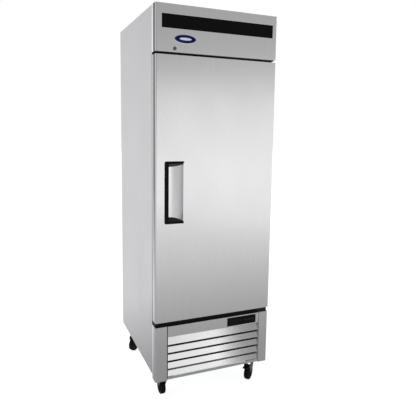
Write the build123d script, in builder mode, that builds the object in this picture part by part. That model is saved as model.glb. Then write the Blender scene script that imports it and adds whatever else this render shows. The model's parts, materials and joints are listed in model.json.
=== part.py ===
from build123d import *
from math import cos, radians, sin
import os

os.makedirs("parts", exist_ok=True)

# A single-door reach-in refrigerator on casters, with its cooling unit below the cabinet.
# Millimetres. +Z is up, the door faces -Y, and the origin is on the floor under the middle.

# Overall sizes
overall_width = 686.0
overall_depth = 800.0  # front of the grip and badge to the back panel
overall_height = 2108.0
wheel_radius = 43.0
caster_head = 41.0  # plate, swivel race and fork above the wheel
front_proud = 3.0  # how far the grip and the badge stand in front of the door

# Heights of the front, from the top down; the door takes what is left
header_height = 233.0
door_gap = 12.0
sill_gap = 25.0
lower_height = 309.0

# Depths and sheets
front_layer = 60.0  # header, door and posts stand this far in front of the cabinet
skin = 1.2
liner_sheet = 1.0
side_wall = 57.0
back_wall = 57.0
roof_wall = 58.0
floor_wall = 62.0
lintel_depth = 45.0  # insulated wall above the door opening
door_thickness = 50.0
door_overlap = 40.0  # the door covers this much above and below its opening
front_bend = 8.0  # outside radius of the folded front corners
side_lift = 22.0  # the side panels end this far above the bottom of the posts
touch = 0.3  # clearance between faces of pieces that move past each other
running = 0.05  # radial clearance of pins and axles

# Reference planes and edges that follow from them
half_width = overall_width / 2
inner_half = half_width - skin
front_y = -overall_depth / 2 + front_proud
back_y = overall_depth / 2
cabinet_y = front_y + front_layer
body_bottom = 2 * wheel_radius + caster_head
body_top = overall_height
header_bottom = body_top - header_height
door_top = header_bottom - door_gap
lower_top = body_bottom + lower_height
door_bottom = lower_top + sill_gap
door_back_y = front_y + door_thickness
cavity_half = half_width - side_wall
cavity_back = back_y - back_wall
cavity_top = body_top - roof_wall
opening_bottom = door_bottom + door_overlap
opening_top = door_top - door_overlap
deck_bottom = opening_bottom - floor_wall
deck_top = deck_bottom + skin


def span(x0, x1, y0, y1, z0, z1, mode=Mode.ADD):
    """A block between two corners, inside the current part."""
    with Locations(((x0 + x1) / 2, (y0 + y1) / 2, (z0 + z1) / 2)):
        Box(abs(x1 - x0), abs(y1 - y0), abs(z1 - z0), mode=mode)


def post(x, y, z0, z1, radius, mode=Mode.ADD):
    """An upright cylinder from z0 to z1, inside the current part."""
    with Locations((x, y, (z0 + z1) / 2)):
        Cylinder(radius, abs(z1 - z0), mode=mode)


def spindle(x, z, y0, y1, radius, mode=Mode.ADD):
    """A cylinder along Y from y0 to y1, inside the current part."""
    with Locations((x, (y0 + y1) / 2, z)):
        Cylinder(radius, abs(y1 - y0), rotation=(90, 0, 0), mode=mode)


def save(part, name):
    part.label = name
    export_step(part, f"parts/{name}.step")


def folded_front(x0, x1, z0, z1, y_back, bend_left, bend_right):
    """A folded sheet box on the front plane, open at the back, with bent front corners."""
    with BuildPart() as folded:
        for inset in (0, skin):
            with BuildSketch(Plane.XY.offset(z0 + inset)) as outline:
                with Locations(((x0 + x1) / 2, (front_y + y_back) / 2 + inset / 2)):
                    Rectangle(x1 - x0 - 2 * inset, y_back - front_y - inset)
                front_corners = outline.vertices().group_by(Axis.Y)[0].sort_by(Axis.X)
                if bend_left:
                    fillet(front_corners[0], bend_left - inset)
                if bend_right:
                    fillet(front_corners[-1], bend_right - inset)
            if inset:
                extrude(amount=z1 - z0 - 2 * inset, mode=Mode.SUBTRACT)
            else:
                extrude(amount=z1 - z0)
    return folded.part


# Cabinet shell

side_bottom = body_bottom + side_lift

with BuildPart() as left_side_panel:
    span(-half_width, -inner_half, cabinet_y, back_y, side_bottom, body_top)
save(left_side_panel.part, "left_side_panel")

with BuildPart() as right_side_panel:
    span(inner_half, half_width, cabinet_y, back_y, side_bottom, body_top)
save(right_side_panel.part, "right_side_panel")

with BuildPart() as top_panel:
    span(-inner_half, inner_half, cabinet_y, back_y - skin, body_top - skin, body_top)
save(top_panel.part, "top_panel")

# The back panel has rows of vent slots behind the cooling unit and a hole for the cord gland.
vent_length = 150.0
vent_height = 8.0
vent_pitch = 22.0
vent_columns = 3
vent_rows = 9
vent_web = 30.0  # sheet left between one slot's end and the next
vent_middle_x = -40.0
vent_middle_z = (side_bottom + deck_bottom) / 2 - 10.0
gland_x = half_width - 70.0
gland_z = deck_bottom - 40.0
gland_radius = 11.0

with BuildPart() as back_panel:
    span(-inner_half, inner_half, back_y - skin, back_y, side_bottom, body_top)
    with BuildSketch(Plane.XZ.offset(-back_y)):
        with Locations((vent_middle_x, vent_middle_z)):
            with GridLocations(vent_length + vent_web, vent_pitch, vent_columns, vent_rows):
                SlotOverall(vent_length, vent_height)
    extrude(amount=skin, mode=Mode.SUBTRACT)
    spindle(gland_x, gland_z, back_y - 2 * skin, back_y + skin, gland_radius, Mode.SUBTRACT)
save(back_panel.part, "back_panel")

with BuildPart() as compartment_deck:
    span(-inner_half, inner_half, cabinet_y, back_y - skin, deck_bottom, deck_top)
save(compartment_deck.part, "compartment_deck")

# The liner is one hollow with a lower mouth: it rises behind the lintel above the door opening.
lintel_back = cabinet_y + lintel_depth


def liner_volume(grow):
    """The space inside the liner, grown outwards by a sheet's thickness."""
    side = cavity_half + grow
    low = opening_bottom - grow
    span(-side, side, lintel_back - grow, cavity_back + grow, low, cavity_top + grow)
    span(-side, side, cabinet_y, lintel_back, low, opening_top + grow)


with BuildPart() as inner_liner:
    liner_volume(liner_sheet)
    with BuildPart(mode=Mode.PRIVATE) as cavity:
        liner_volume(0)
    add(cavity.part, mode=Mode.SUBTRACT)
save(inner_liner.part, "inner_liner")

breaker_thickness = 3.0
with BuildPart() as breaker_frame:
    span(-inner_half, inner_half, cabinet_y, cabinet_y + breaker_thickness, deck_top, body_top - skin)
    mouth = cavity_half + liner_sheet
    mouth_low = opening_bottom - liner_sheet
    span(-mouth, mouth, cabinet_y - 1, cabinet_y + 2 * breaker_thickness,
         mouth_low, opening_top + liner_sheet, Mode.SUBTRACT)
save(breaker_frame.part, "breaker_frame")

with BuildPart() as foam_insulation:
    span(-inner_half, inner_half, cabinet_y + breaker_thickness, back_y - skin, deck_top, body_top - skin)
    with BuildPart(mode=Mode.PRIVATE) as liner_block:
        liner_volume(liner_sheet)
    add(liner_block.part, mode=Mode.SUBTRACT)
save(foam_insulation.part, "foam_insulation")

# Base frame

frame_sheet = 2.0
frame_wall = 40.0
rail_inset = 15.0
rail_width = 90.0
frame_floor = side_bottom  # underside of the floor plate
frame_floor_top = frame_floor + frame_sheet

with BuildPart() as base_frame:
    span(-inner_half, inner_half, cabinet_y, back_y - skin, frame_floor, frame_floor + frame_wall)
    span(-inner_half + frame_sheet, inner_half - frame_sheet, cabinet_y + frame_sheet,
         back_y - skin - frame_sheet, frame_floor_top, frame_floor + frame_wall + 1, Mode.SUBTRACT)
    for side in (-1, 1):
        rail_outer = side * (half_width - rail_inset)
        rail_inner = side * (half_width - rail_inset - rail_width)
        span(rail_outer, rail_inner, cabinet_y, back_y - skin, body_bottom, frame_floor)
        span(rail_outer - side * frame_sheet, rail_inner + side * frame_sheet, cabinet_y - 1, back_y,
             body_bottom + frame_sheet, frame_floor, Mode.SUBTRACT)
save(base_frame.part, "base_frame")

# Header

strip_left_margin = 34.0
strip_right_margin = 22.0
strip_left = -half_width + strip_left_margin
strip_right = half_width - strip_right_margin
strip_drop = 49.0  # top of the strip below the top of the body
strip_height = 68.0
strip_top = body_top - strip_drop
strip_bottom = strip_top - strip_height
strip_depth = 5.0
strip_rim = 5.0
strip_ribs = 9

lock_side_distance = 102.0  # from the cabinet's left side to the lock
lock_rise = 19.0  # above the header's lower edge
lock_x = -half_width + lock_side_distance
lock_z = header_bottom + lock_rise
lock_radius = 9.0
lock_proud = 2.0
keyway_width = 2.0
keyway_height = 8.0
keyway_depth = 3.0
lock_depth = 24.0
cam_thickness = 3.0
cam_width = 11.0
cam_length = 42.0
cam_y = front_y + lock_depth
cam_slot_margin = 4.0
cam_slot_x = (lock_x - cam_width / 2 - cam_slot_margin, lock_x + cam_length + cam_slot_margin)
cam_slot_y = (cam_y - cam_slot_margin, cam_y + cam_thickness + cam_slot_margin)

with BuildPart() as header_cover:
    add(folded_front(-half_width, half_width, header_bottom, body_top, cabinet_y, front_bend, front_bend))
    span(strip_left, strip_right, front_y - 1, front_y + 2 * skin, strip_bottom, strip_top, Mode.SUBTRACT)
    spindle(lock_x, lock_z, front_y - 1, front_y + 2 * skin, lock_radius + running, Mode.SUBTRACT)
    span(*cam_slot_x, *cam_slot_y, header_bottom - 1, header_bottom + 2 * skin, Mode.SUBTRACT)
save(header_cover.part, "header_cover")

# The strip is a ribbed moulding with a plain rim, set a little behind the header's face.
strip_set_back = 1.0
rib_depth = 2.0
rib_pitch = (strip_height - 2 * strip_rim) / strip_ribs
with BuildPart() as header_strip:
    span(strip_left, strip_right, front_y + strip_set_back, front_y + strip_depth, strip_bottom, strip_top)
    for rib in range(strip_ribs):
        groove_z = strip_bottom + strip_rim + (rib + 0.5) * rib_pitch
        span(strip_left + strip_rim, strip_right - strip_rim, front_y, front_y + strip_set_back + rib_depth,
             groove_z - rib_pitch / 4, groove_z + rib_pitch / 4, Mode.SUBTRACT)
save(header_strip.part, "header_strip")

badge_side_distance = 158.0
badge_rise = 68.0
badge_x = -half_width + badge_side_distance
badge_z = header_bottom + badge_rise
badge_width = 119.0
badge_height = 46.0
badge_rim = 3.0
badge_recess = 1.0
with BuildPart() as badge_plate:
    with BuildSketch(Plane.XZ.offset(-front_y)):
        with Locations((badge_x, badge_z)):
            Ellipse(badge_width / 2, badge_height / 2)
    extrude(amount=front_proud)
    with BuildSketch(Plane.XZ.offset(-front_y + front_proud)):
        with Locations((badge_x, badge_z)):
            Ellipse(badge_width / 2 - badge_rim, badge_height / 2 - badge_rim)
    extrude(amount=-badge_recess, mode=Mode.SUBTRACT)
save(badge_plate.part, "badge_plate")

# The cylinder turns a quarter: its cam swings from level down into a slot in the top of the door.
with BuildPart() as lock_cylinder:
    lock_face_y = front_y - lock_proud
    spindle(lock_x, lock_z, lock_face_y, cam_y, lock_radius)
    span(lock_x - keyway_width / 2, lock_x + keyway_width / 2, lock_face_y - 1, lock_face_y + keyway_depth,
         lock_z - keyway_height / 2, lock_z + keyway_height / 2, Mode.SUBTRACT)
    spindle(lock_x, lock_z, cam_y, cam_y + cam_thickness, cam_width / 2)
    span(lock_x, lock_x + cam_length, cam_y, cam_y + cam_thickness,
         lock_z - cam_width / 2, lock_z + cam_width / 2)
save(lock_cylinder.part, "lock_cylinder")

# Lower front

left_post_width = 66.0
right_post_width = 56.0
post_bottom = body_bottom
with BuildPart() as left_front_post:
    add(folded_front(-half_width, -half_width + left_post_width, post_bottom, lower_top,
                     cabinet_y, front_bend, 0))
save(left_front_post.part, "left_front_post")

with BuildPart() as right_front_post:
    add(folded_front(half_width - right_post_width, half_width, post_bottom, lower_top,
                     cabinet_y, 0, front_bend))
save(right_front_post.part, "right_front_post")

# Louvred panel between the posts: a plain band, slat openings and a lip at the bottom.
panel_gap = 1.5
panel_left = -half_width + left_post_width + panel_gap
panel_right = half_width - right_post_width - panel_gap
panel_bottom = body_bottom + 5.0
panel_top = lower_top - 1.0
panel_depth = 25.0
lip_height = 16.0
band_height = 60.0
cheek = 4.0
slat_count = 5
slat_low = panel_bottom + lip_height
slat_high = panel_top - band_height
slat_pitch = (slat_high - slat_low) / slat_count
slat_left = panel_left + cheek
slat_right = panel_right - cheek
slat_lean = 16.0
slat_lip = 8.0
slat_end_gap = 1.0  # above the panel's lip and below its band
slat_gap = 15.0  # height between one slat's lower edge and the next slat's upper edge

controller_width = 183.0
controller_height = 50.0
controller_post_gap = 23.0  # from the controller to the right post
controller_left = half_width - right_post_width - controller_post_gap - controller_width
controller_bottom = slat_high + 4.0
controller_right = controller_left + controller_width
controller_top = controller_bottom + controller_height

with BuildPart() as grille_panel:
    span(panel_left, panel_right, front_y, front_y + panel_depth, panel_bottom, panel_top)
    span(panel_left + skin, panel_right - skin, front_y + skin, front_y + panel_depth + 1,
         panel_bottom + skin, panel_top - skin, Mode.SUBTRACT)
    for side, edge in ((-1, panel_left), (1, panel_right)):
        span(edge - side * skin, edge - side * cheek, front_y, front_y + panel_depth,
             panel_bottom + skin, panel_top - skin)
        span(edge, edge + side * panel_gap, front_y + panel_depth - skin, front_y + panel_depth,
             panel_bottom, panel_top)
    span(slat_left, slat_right, front_y - 1, front_y + 2 * skin, slat_low, slat_high, Mode.SUBTRACT)
    span(controller_left, controller_right, front_y - 1, front_y + 2 * skin,
         controller_bottom, controller_top, Mode.SUBTRACT)
save(grille_panel.part, "grille_panel")

# Each slat leans back at its top and ends below in a short lip turned inwards.
with BuildPart() as louvre_slats:
    for slat in range(slat_count):
        low = slat_low + slat * slat_pitch
        if slat == 0:
            low += slat_end_gap
        gap_above = slat_gap if slat < slat_count - 1 else slat_end_gap
        high = slat_low + (slat + 1) * slat_pitch - gap_above
        with BuildSketch(Plane.YZ.offset(slat_left)):
            with BuildLine():
                Polyline((front_y, low), (front_y + slat_lip, low), (front_y + slat_lip, low + skin),
                         (front_y + skin, low + skin), (front_y + slat_lean + skin, high),
                         (front_y + slat_lean, high), close=True)
            make_face()
        extrude(amount=slat_right - slat_left)
save(louvre_slats.part, "louvre_slats")

# Digital controller, snapped into the band from the front, with three keys.
controller_depth = 52.0
key_width = 14.0
key_height = 8.0
key_pitch = 22.0
key_travel = 1.5
key_proud = 1.0
last_key_margin = 20.0  # from the last key's middle to the controller's right edge
body_side_margin = 6.0  # the housing behind is smaller than the bezel
body_end_margin = 5.0
window_margin = 14.0
window_width = 78.0
window_height = 30.0
window_recess = 0.8
key_z = (controller_bottom + controller_top) / 2
key_centres = {
    "set_key": controller_right - last_key_margin - 2 * key_pitch,
    "up_key": controller_right - last_key_margin - key_pitch,
    "down_key": controller_right - last_key_margin,
}
key_depth = 8.0
key_back = front_y + key_depth
with BuildPart() as controller:
    span(controller_left, controller_right, front_y, front_y + skin, controller_bottom, controller_top)
    span(controller_left + body_side_margin, controller_right - body_side_margin,
         front_y + skin, front_y + controller_depth,
         controller_bottom + body_end_margin, controller_top - body_end_margin)
    span(controller_left + window_margin, controller_left + window_margin + window_width,
         front_y - 1, front_y + window_recess,
         key_z - window_height / 2, key_z + window_height / 2, Mode.SUBTRACT)
    for key_x in key_centres.values():
        span(key_x - key_width / 2 - touch, key_x + key_width / 2 + touch,
             front_y - 1, key_back + key_travel + touch,
             key_z - key_height / 2 - touch, key_z + key_height / 2 + touch, Mode.SUBTRACT)
save(controller.part, "controller")

for key_name, key_x in key_centres.items():
    with BuildPart() as key:
        span(key_x - key_width / 2, key_x + key_width / 2, front_y - key_proud, key_back,
             key_z - key_height / 2, key_z + key_height / 2)
        fillet(key.faces().sort_by(Axis.Y)[0].edges(), 0.6)
    save(key.part, key_name)

# Hinge and sill

hinge_inset = 22.0
hinge_x = half_width - hinge_inset
hinge_y = front_y + hinge_inset
bracket_reach = 46.0  # from the hinge line towards the middle of the door
bracket_side_margin = 8.0
bracket_front_margin = 5.0
bracket_thickness = 5.0
bracket_left = hinge_x - bracket_reach
bracket_right = half_width - bracket_side_margin
bracket_front = front_y + bracket_front_margin
upper_pin_radius = 5.0
upper_collar_radius = 10.0
lower_pin_radius = 6.0
upper_pin_length = 25.0
closer_radius = 14.0
closer_length = 110.0
pin_depth = 60.0
collar_radius = 13.0
collar_rise = 5.0  # the collar carries the door this far above the lower bracket
sill_side_margin = 3.0
sill_setback = 6.0
sill_door_gap = 4.0

with BuildPart() as upper_hinge_bracket:
    bracket_underside = header_bottom - bracket_thickness
    span(bracket_left, bracket_right, bracket_front, cabinet_y, bracket_underside, header_bottom)
    post(hinge_x, hinge_y, door_top - upper_pin_length, bracket_underside, upper_pin_radius)
    post(hinge_x, hinge_y, door_top + touch, bracket_underside, upper_collar_radius)
save(upper_hinge_bracket.part, "upper_hinge_bracket")

with BuildPart() as lower_hinge_bracket:
    bracket_top = door_bottom - collar_rise
    span(bracket_left, bracket_right, bracket_front, cabinet_y, lower_top, bracket_top)
    post(hinge_x, hinge_y, bracket_top, door_bottom - touch, collar_radius)
    post(hinge_x, hinge_y, bracket_top, door_bottom + pin_depth, lower_pin_radius)
save(lower_hinge_bracket.part, "lower_hinge_bracket")

with BuildPart() as door_sill:
    sill_left = -half_width + sill_side_margin
    sill_front = front_y + sill_setback
    sill_top = door_bottom - sill_door_gap
    span(sill_left, bracket_left, sill_front, cabinet_y, lower_top, sill_top)
    span(sill_left + skin, bracket_left - skin, sill_front + skin, cabinet_y + 1,
         lower_top - 1, sill_top - skin, Mode.SUBTRACT)
save(door_sill.part, "door_sill")

# Door

handle_side_distance = 50.0
handle_rise = 871.0  # above the underside of the body
handle_width = 106.0
handle_height = 329.0
handle_left = -half_width + handle_side_distance
handle_bottom = body_bottom + handle_rise
handle_right = handle_left + handle_width
handle_top = handle_bottom + handle_height
handle_flange = 2.0  # the bezel laps over the door around the pocket
grip_width = 22.0
grip_depth = 10.0
pocket_left = handle_left + handle_flange
pocket_right = handle_right - handle_flange
pocket_bottom = handle_bottom + handle_flange
pocket_top = handle_top - handle_flange
pocket_depth = 38.0
scoop_sheet = 1.2
scoop_flat = 28.0  # width of the deep, flat part behind the grip
scoop_bulge = 0.144  # of the curved part's width


def scoop_middle(turn_x, right, deep):
    """Middle of the scoop's arc, bulging into the pocket."""
    bulge = scoop_bulge * (right - turn_x)
    return ((turn_x + right) / 2 + bulge / 2, (front_y + deep) / 2 + bulge)


def pocket_volume(low, high, grow):
    """The hand pocket as an upright prism: deep behind the grip, curving out flush at the right."""
    left = pocket_left + scoop_sheet - grow
    right = pocket_right - scoop_sheet + grow
    deep = front_y + pocket_depth + grow
    turn_x = left + scoop_flat + grow
    with BuildSketch(Plane.XY.offset(low)) as plan:
        with BuildLine():
            floor = Line((left, deep), (turn_x, deep))
            curve = ThreePointArc(floor @ 1, scoop_middle(turn_x, right, deep), (right, front_y))
            Line(curve @ 1, (left, front_y))
            Line((left, front_y), (left, deep))
        make_face()
    extrude(plan.sketch, amount=high - low)


lock_pocket_z = lock_z - cam_length - 3.0
pin_pocket_margin = 3.0

with BuildPart() as door_outer_skin:
    add(folded_front(-half_width, half_width, door_bottom, door_top, door_back_y, front_bend, front_bend))
    span(pocket_left, pocket_right, front_y - 1, front_y + 2 * skin,
         pocket_bottom, pocket_top, Mode.SUBTRACT)
    span(*cam_slot_x, *cam_slot_y, door_top - 2 * skin, door_top + 1, Mode.SUBTRACT)
    post(hinge_x, hinge_y, door_top - 2 * skin, door_top + 1, upper_pin_radius + running, Mode.SUBTRACT)
    post(hinge_x, hinge_y, door_bottom - 1, door_bottom + 2 * skin, closer_radius, Mode.SUBTRACT)
save(door_outer_skin.part, "door_outer_skin")

inner_panel_y = door_back_y - skin
with BuildPart() as door_foam:
    with BuildSketch(Plane.XY.offset(door_bottom + skin)) as foam_outline:
        with Locations((0, (front_y + skin + inner_panel_y) / 2)):
            Rectangle(2 * inner_half, inner_panel_y - front_y - skin)
        fillet(foam_outline.vertices().group_by(Axis.Y)[0], front_bend - skin)
    extrude(amount=door_top - door_bottom - 2 * skin)
    with BuildPart(mode=Mode.PRIVATE) as pocket_block:
        pocket_volume(pocket_bottom, pocket_top, scoop_sheet)
    add(pocket_block.part, mode=Mode.SUBTRACT)
    span(*cam_slot_x, *cam_slot_y, lock_pocket_z, door_top, Mode.SUBTRACT)
    post(hinge_x, hinge_y, door_top - upper_pin_length - pin_pocket_margin, door_top,
         upper_pin_radius + pin_pocket_margin, Mode.SUBTRACT)
    post(hinge_x, hinge_y, door_bottom, door_bottom + closer_length, closer_radius, Mode.SUBTRACT)
save(door_foam.part, "door_foam")

gasket_width = 22.0
gasket_behind_pin = 2.0  # the gasket stays clear of the hinge line, so it lifts off as the door turns
gasket_end_margin = 7.0  # from the top and bottom of the door
gasket_inner_half = hinge_x - gasket_behind_pin - gasket_width
gasket_inner_low = door_bottom + gasket_end_margin + gasket_width
gasket_inner_high = door_top - gasket_end_margin - gasket_width
panel_rise = 7.0
panel_margin = 12.0
panel_taper = 30.0  # degrees
panel_corner = 20.0
gasket_bead_depth = 4.0  # from the door to the groove around the gasket
gasket_groove_width = 2.0
gasket_groove_depth = 3.0

with BuildPart() as door_inner_liner:
    span(-inner_half, inner_half, inner_panel_y, door_back_y, door_bottom + skin, door_top - skin)
    with BuildSketch(Plane.XZ.offset(-door_back_y)) as raised:
        with Locations((0, (gasket_inner_low + gasket_inner_high) / 2)):
            RectangleRounded(2 * (gasket_inner_half - panel_margin),
                             gasket_inner_high - gasket_inner_low - 2 * panel_margin, panel_corner)
    extrude(raised.sketch, amount=-panel_rise, taper=panel_taper)
    with BuildSketch(Plane.XZ.offset(-inner_panel_y)) as hollow:
        with Locations((0, (gasket_inner_low + gasket_inner_high) / 2)):
            RectangleRounded(2 * (gasket_inner_half - panel_margin - skin),
                             gasket_inner_high - gasket_inner_low - 2 * (panel_margin + skin),
                             panel_corner)
    extrude(hollow.sketch, amount=-panel_rise, taper=panel_taper, mode=Mode.SUBTRACT)
save(door_inner_liner.part, "door_inner_liner")

with BuildPart() as door_gasket:
    gasket_front = door_back_y
    gasket_back = cabinet_y - touch
    with BuildSketch(Plane.XZ.offset(-gasket_front)):
        with Locations((0, (gasket_inner_low + gasket_inner_high) / 2)):
            Rectangle(2 * (gasket_inner_half + gasket_width),
                      gasket_inner_high - gasket_inner_low + 2 * gasket_width)
            Rectangle(2 * gasket_inner_half, gasket_inner_high - gasket_inner_low, mode=Mode.SUBTRACT)
    extrude(amount=-(gasket_back - gasket_front))
    with BuildSketch(Plane.XZ.offset(-gasket_front - gasket_bead_depth)):
        with Locations((0, (gasket_inner_low + gasket_inner_high) / 2)):
            Rectangle(2 * (gasket_inner_half + gasket_width) + 1,
                      gasket_inner_high - gasket_inner_low + 2 * gasket_width + 1)
            Rectangle(2 * (gasket_inner_half + gasket_width - gasket_groove_depth),
                      gasket_inner_high - gasket_inner_low + 2 * (gasket_width - gasket_groove_depth),
                      mode=Mode.SUBTRACT)
    extrude(amount=-gasket_groove_width, mode=Mode.SUBTRACT)
save(door_gasket.part, "door_gasket")

with BuildPart() as door_closer:
    post(hinge_x, hinge_y, door_bottom, door_bottom + closer_length, closer_radius)
    post(hinge_x, hinge_y, door_bottom - 1, door_bottom + pin_depth + 2.0,
         lower_pin_radius + running, Mode.SUBTRACT)
save(door_closer.part, "door_closer")

# Door handle

bezel_top_bar = 14.0
bezel_bottom_bar = 12.0
bezel_corner = 10.0
bezel_edge = 1.0
cap_rise = 18.0  # the end caps slope by this much towards the back of the pocket
cap_clear = 4.0

with BuildPart() as handle_bezel:
    with BuildSketch(Plane.XZ.offset(-front_y)) as bezel_face:
        with Locations(((handle_left + handle_right) / 2, (handle_bottom + handle_top) / 2)):
            Rectangle(handle_width, handle_height)
        fillet(bezel_face.vertices().group_by(Axis.X)[0], bezel_corner)
        window_low = handle_bottom + bezel_bottom_bar
        window_high = handle_top - bezel_top_bar
        window_middle_x = (handle_left + grip_width + handle_right + 1) / 2
        with Locations((window_middle_x, (window_low + window_high) / 2)):
            Rectangle(handle_width - grip_width + 1, window_high - window_low, mode=Mode.SUBTRACT)
    extrude(amount=front_proud)
    grip_low = window_low + cap_rise * grip_depth / pocket_depth + cap_clear
    grip_high = window_high - cap_rise * grip_depth / pocket_depth - cap_clear
    span(pocket_left + scoop_sheet + touch, handle_left + grip_width, front_y, front_y + grip_depth,
         grip_low, grip_high)
    fillet(handle_bezel.faces().sort_by(Axis.Y)[0].edges(), bezel_edge)
save(handle_bezel.part, "handle_bezel")

with BuildPart() as handle_scoop:
    pocket_volume(pocket_bottom, pocket_top, scoop_sheet)
    with BuildPart(mode=Mode.PRIVATE) as scoop_space:
        pocket_volume(pocket_bottom, pocket_top, 0)
    add(scoop_space.part, mode=Mode.SUBTRACT)
save(handle_scoop.part, "handle_scoop")

with BuildPart() as handle_end_caps:
    pocket_volume(pocket_bottom, pocket_top, 0)
    with BuildSketch(Plane.YZ.offset(pocket_left - 1)):
        with BuildLine():
            Polyline((front_y - 1, window_low), (front_y + pocket_depth + 1, window_low + cap_rise),
                     (front_y + pocket_depth + 1, window_high - cap_rise), (front_y - 1, window_high),
                     close=True)
        make_face()
    extrude(amount=handle_width, mode=Mode.SUBTRACT)
save(handle_end_caps.part, "handle_end_caps")

# Inside the cabinet

pilaster_width = 22.0
pilaster_depth = 6.0
pilaster_low = opening_bottom + 60.0
pilaster_high = opening_top - 30.0
pilaster_pitch = 50.0
pilaster_front = cabinet_y + 90.0
pilaster_back = cavity_back - 60.0
pilaster_slot_width = 10.0
pilaster_slot_height = 5.0
pilaster_slot_depth = 3.0
shelf_step = (opening_top - opening_bottom) / 4
first_shelf = opening_bottom + 0.8 * shelf_step
shelf_spacing = 0.98 * shelf_step
shelf_levels = {
    "wire_shelf_lower": first_shelf,
    "wire_shelf_middle": first_shelf + shelf_spacing,
    "wire_shelf_upper": first_shelf + 2 * shelf_spacing,
}
shelf_wire = 4.0
shelf_rim = 7.0
shelf_side_gap = 3.0
clip_height = 14.0
clip_reach = 16.0
clip_width = 16.0
clip_ledge = 3.0
clip_sheet = 2.0

pilaster_height = pilaster_high - pilaster_low
pilaster_face = cavity_half - pilaster_depth
slot_count = int(pilaster_height // pilaster_pitch)
with BuildPart() as shelf_pilasters:
    for side in (-1, 1):
        for place in (pilaster_front, pilaster_back):
            span(side * cavity_half, side * (cavity_half - pilaster_depth),
                 place - pilaster_width / 2, place + pilaster_width / 2, pilaster_low, pilaster_high)
            for slot in range(slot_count):
                slot_z = pilaster_low + (slot + 0.5) * pilaster_pitch
                span(side * (pilaster_face + pilaster_slot_depth), side * (pilaster_face - 1.0),
                     place - pilaster_slot_width / 2, place + pilaster_slot_width / 2,
                     slot_z - pilaster_slot_height / 2, slot_z + pilaster_slot_height / 2, Mode.SUBTRACT)
save(shelf_pilasters.part, "shelf_pilasters")

with BuildPart() as shelf_clips:
    for level in shelf_levels.values():
        for side in (-1, 1):
            for place in (pilaster_front, pilaster_back):
                front = place - clip_width / 2
                back = place + clip_width / 2
                span(side * pilaster_face, side * (pilaster_face - clip_reach), front, back,
                     level - clip_ledge, level)
                span(side * pilaster_face, side * (pilaster_face - clip_sheet), front, back,
                     level - clip_height, level - clip_ledge)
save(shelf_clips.part, "shelf_clips")

shelf_half = pilaster_face - shelf_side_gap
shelf_front = cabinet_y + 60.0
shelf_back = cavity_back - 18.0
shelf_wires = 22
shelf_bars = 4
shelf_bar = 6.0
wire_sink = 1.0  # the wires are welded into the frame by this much
for shelf_name, level in shelf_levels.items():
    with BuildPart() as shelf:
        rim_top = level + shelf_rim
        span(-shelf_half, shelf_half, shelf_front, shelf_back, level, rim_top)
        span(-shelf_half + shelf_rim, shelf_half - shelf_rim, shelf_front + shelf_rim,
             shelf_back - shelf_rim, level - 1, rim_top + 1, Mode.SUBTRACT)
        for bar in range(1, shelf_bars + 1):
            bar_y = shelf_front + bar * (shelf_back - shelf_front) / (shelf_bars + 1)
            span(-shelf_half, shelf_half, bar_y - shelf_bar / 2, bar_y + shelf_bar / 2,
                 level, rim_top - wire_sink)
        for wire in range(1, shelf_wires + 1):
            wire_x = -shelf_half + wire * 2 * shelf_half / (shelf_wires + 1)
            span(wire_x - shelf_wire / 2, wire_x + shelf_wire / 2, shelf_front, shelf_back,
                 rim_top - wire_sink, rim_top + shelf_wire - wire_sink)
    save(shelf.part, shelf_name)

lamp_length = 420.0
lamp_rise = 22.0  # above the top of the door opening
lamp_height = 38.0
lamp_depth = 34.0
lamp_base = opening_top + lamp_rise
lamp_top = lamp_base + lamp_height
with BuildPart() as led_lamp:
    with BuildSketch(Plane.YZ.offset(-lamp_length / 2)):
        with BuildLine():
            Polyline((lintel_back, lamp_top), (lintel_back + lamp_depth, lamp_top),
                     (lintel_back + lamp_depth, lamp_top - lamp_height / 3),
                     (lintel_back + lamp_depth / 3, lamp_base), (lintel_back, lamp_base), close=True)
        make_face()
    extrude(amount=lamp_length)
save(led_lamp.part, "led_lamp")

# Evaporator unit under the ceiling: a cover with a fan grille, the coil, the fan and its motor.
unit_half = 235.0
unit_length = 283.0
unit_front = cavity_back - unit_length
evap_coil_front = unit_front + 130.0  # room for the fan and its motor in front of the coil
unit_rise = 32.0  # above the top of the door opening
unit_bottom = opening_top + unit_rise
unit_sheet = 1.2
evap_fan_z = (unit_bottom + cavity_top) / 2
evap_fan_radius = 84.0
grille_rings = 5
ring_step = 17.0
ring_wire = 3.0
grille_hub = 12.0
spoke_width = 4.0
side_vent_margin = 50.0
coil_margin = 25.0  # between the coil and the cover's sides and back
drip_gap = 14.0  # under the coil
hanger_height = 2.0
evap_fin_slots = 20
with BuildPart() as evaporator_cover:
    span(-unit_half, unit_half, unit_front, cavity_back, unit_bottom, cavity_top)
    span(-unit_half + unit_sheet, unit_half - unit_sheet, unit_front + unit_sheet, cavity_back + 1,
         unit_bottom + unit_sheet, cavity_top + 1, Mode.SUBTRACT)
    for ring in range(grille_rings):
        outer = grille_hub + (ring + 1) * ring_step - ring_wire
        with BuildSketch(Plane.XZ.offset(-unit_front)) as slots:
            with Locations((0, evap_fan_z)):
                Circle(outer)
                Circle(outer - ring_step + ring_wire, mode=Mode.SUBTRACT)
                with PolarLocations(0, 4, 45):
                    Rectangle(2 * outer + 10, spoke_width, mode=Mode.SUBTRACT)
        extrude(amount=-unit_sheet, mode=Mode.SUBTRACT)
    for vent_x in (-unit_half + side_vent_margin, unit_half - side_vent_margin):
        with BuildSketch(Plane.XZ.offset(-unit_front)):
            with Locations((vent_x, evap_fan_z)):
                with GridLocations(1, 20.0, 1, 7):
                    SlotOverall(56.0, 7.0)
        extrude(amount=-unit_sheet, mode=Mode.SUBTRACT)
save(evaporator_cover.part, "evaporator_cover")


blade_pitch = 26.0  # degrees
blade_count = 5
blade_root = 4.0  # how far a blade starts inside the hub
blade_half_thickness = 0.9
blade_corner = 8.0


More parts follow.
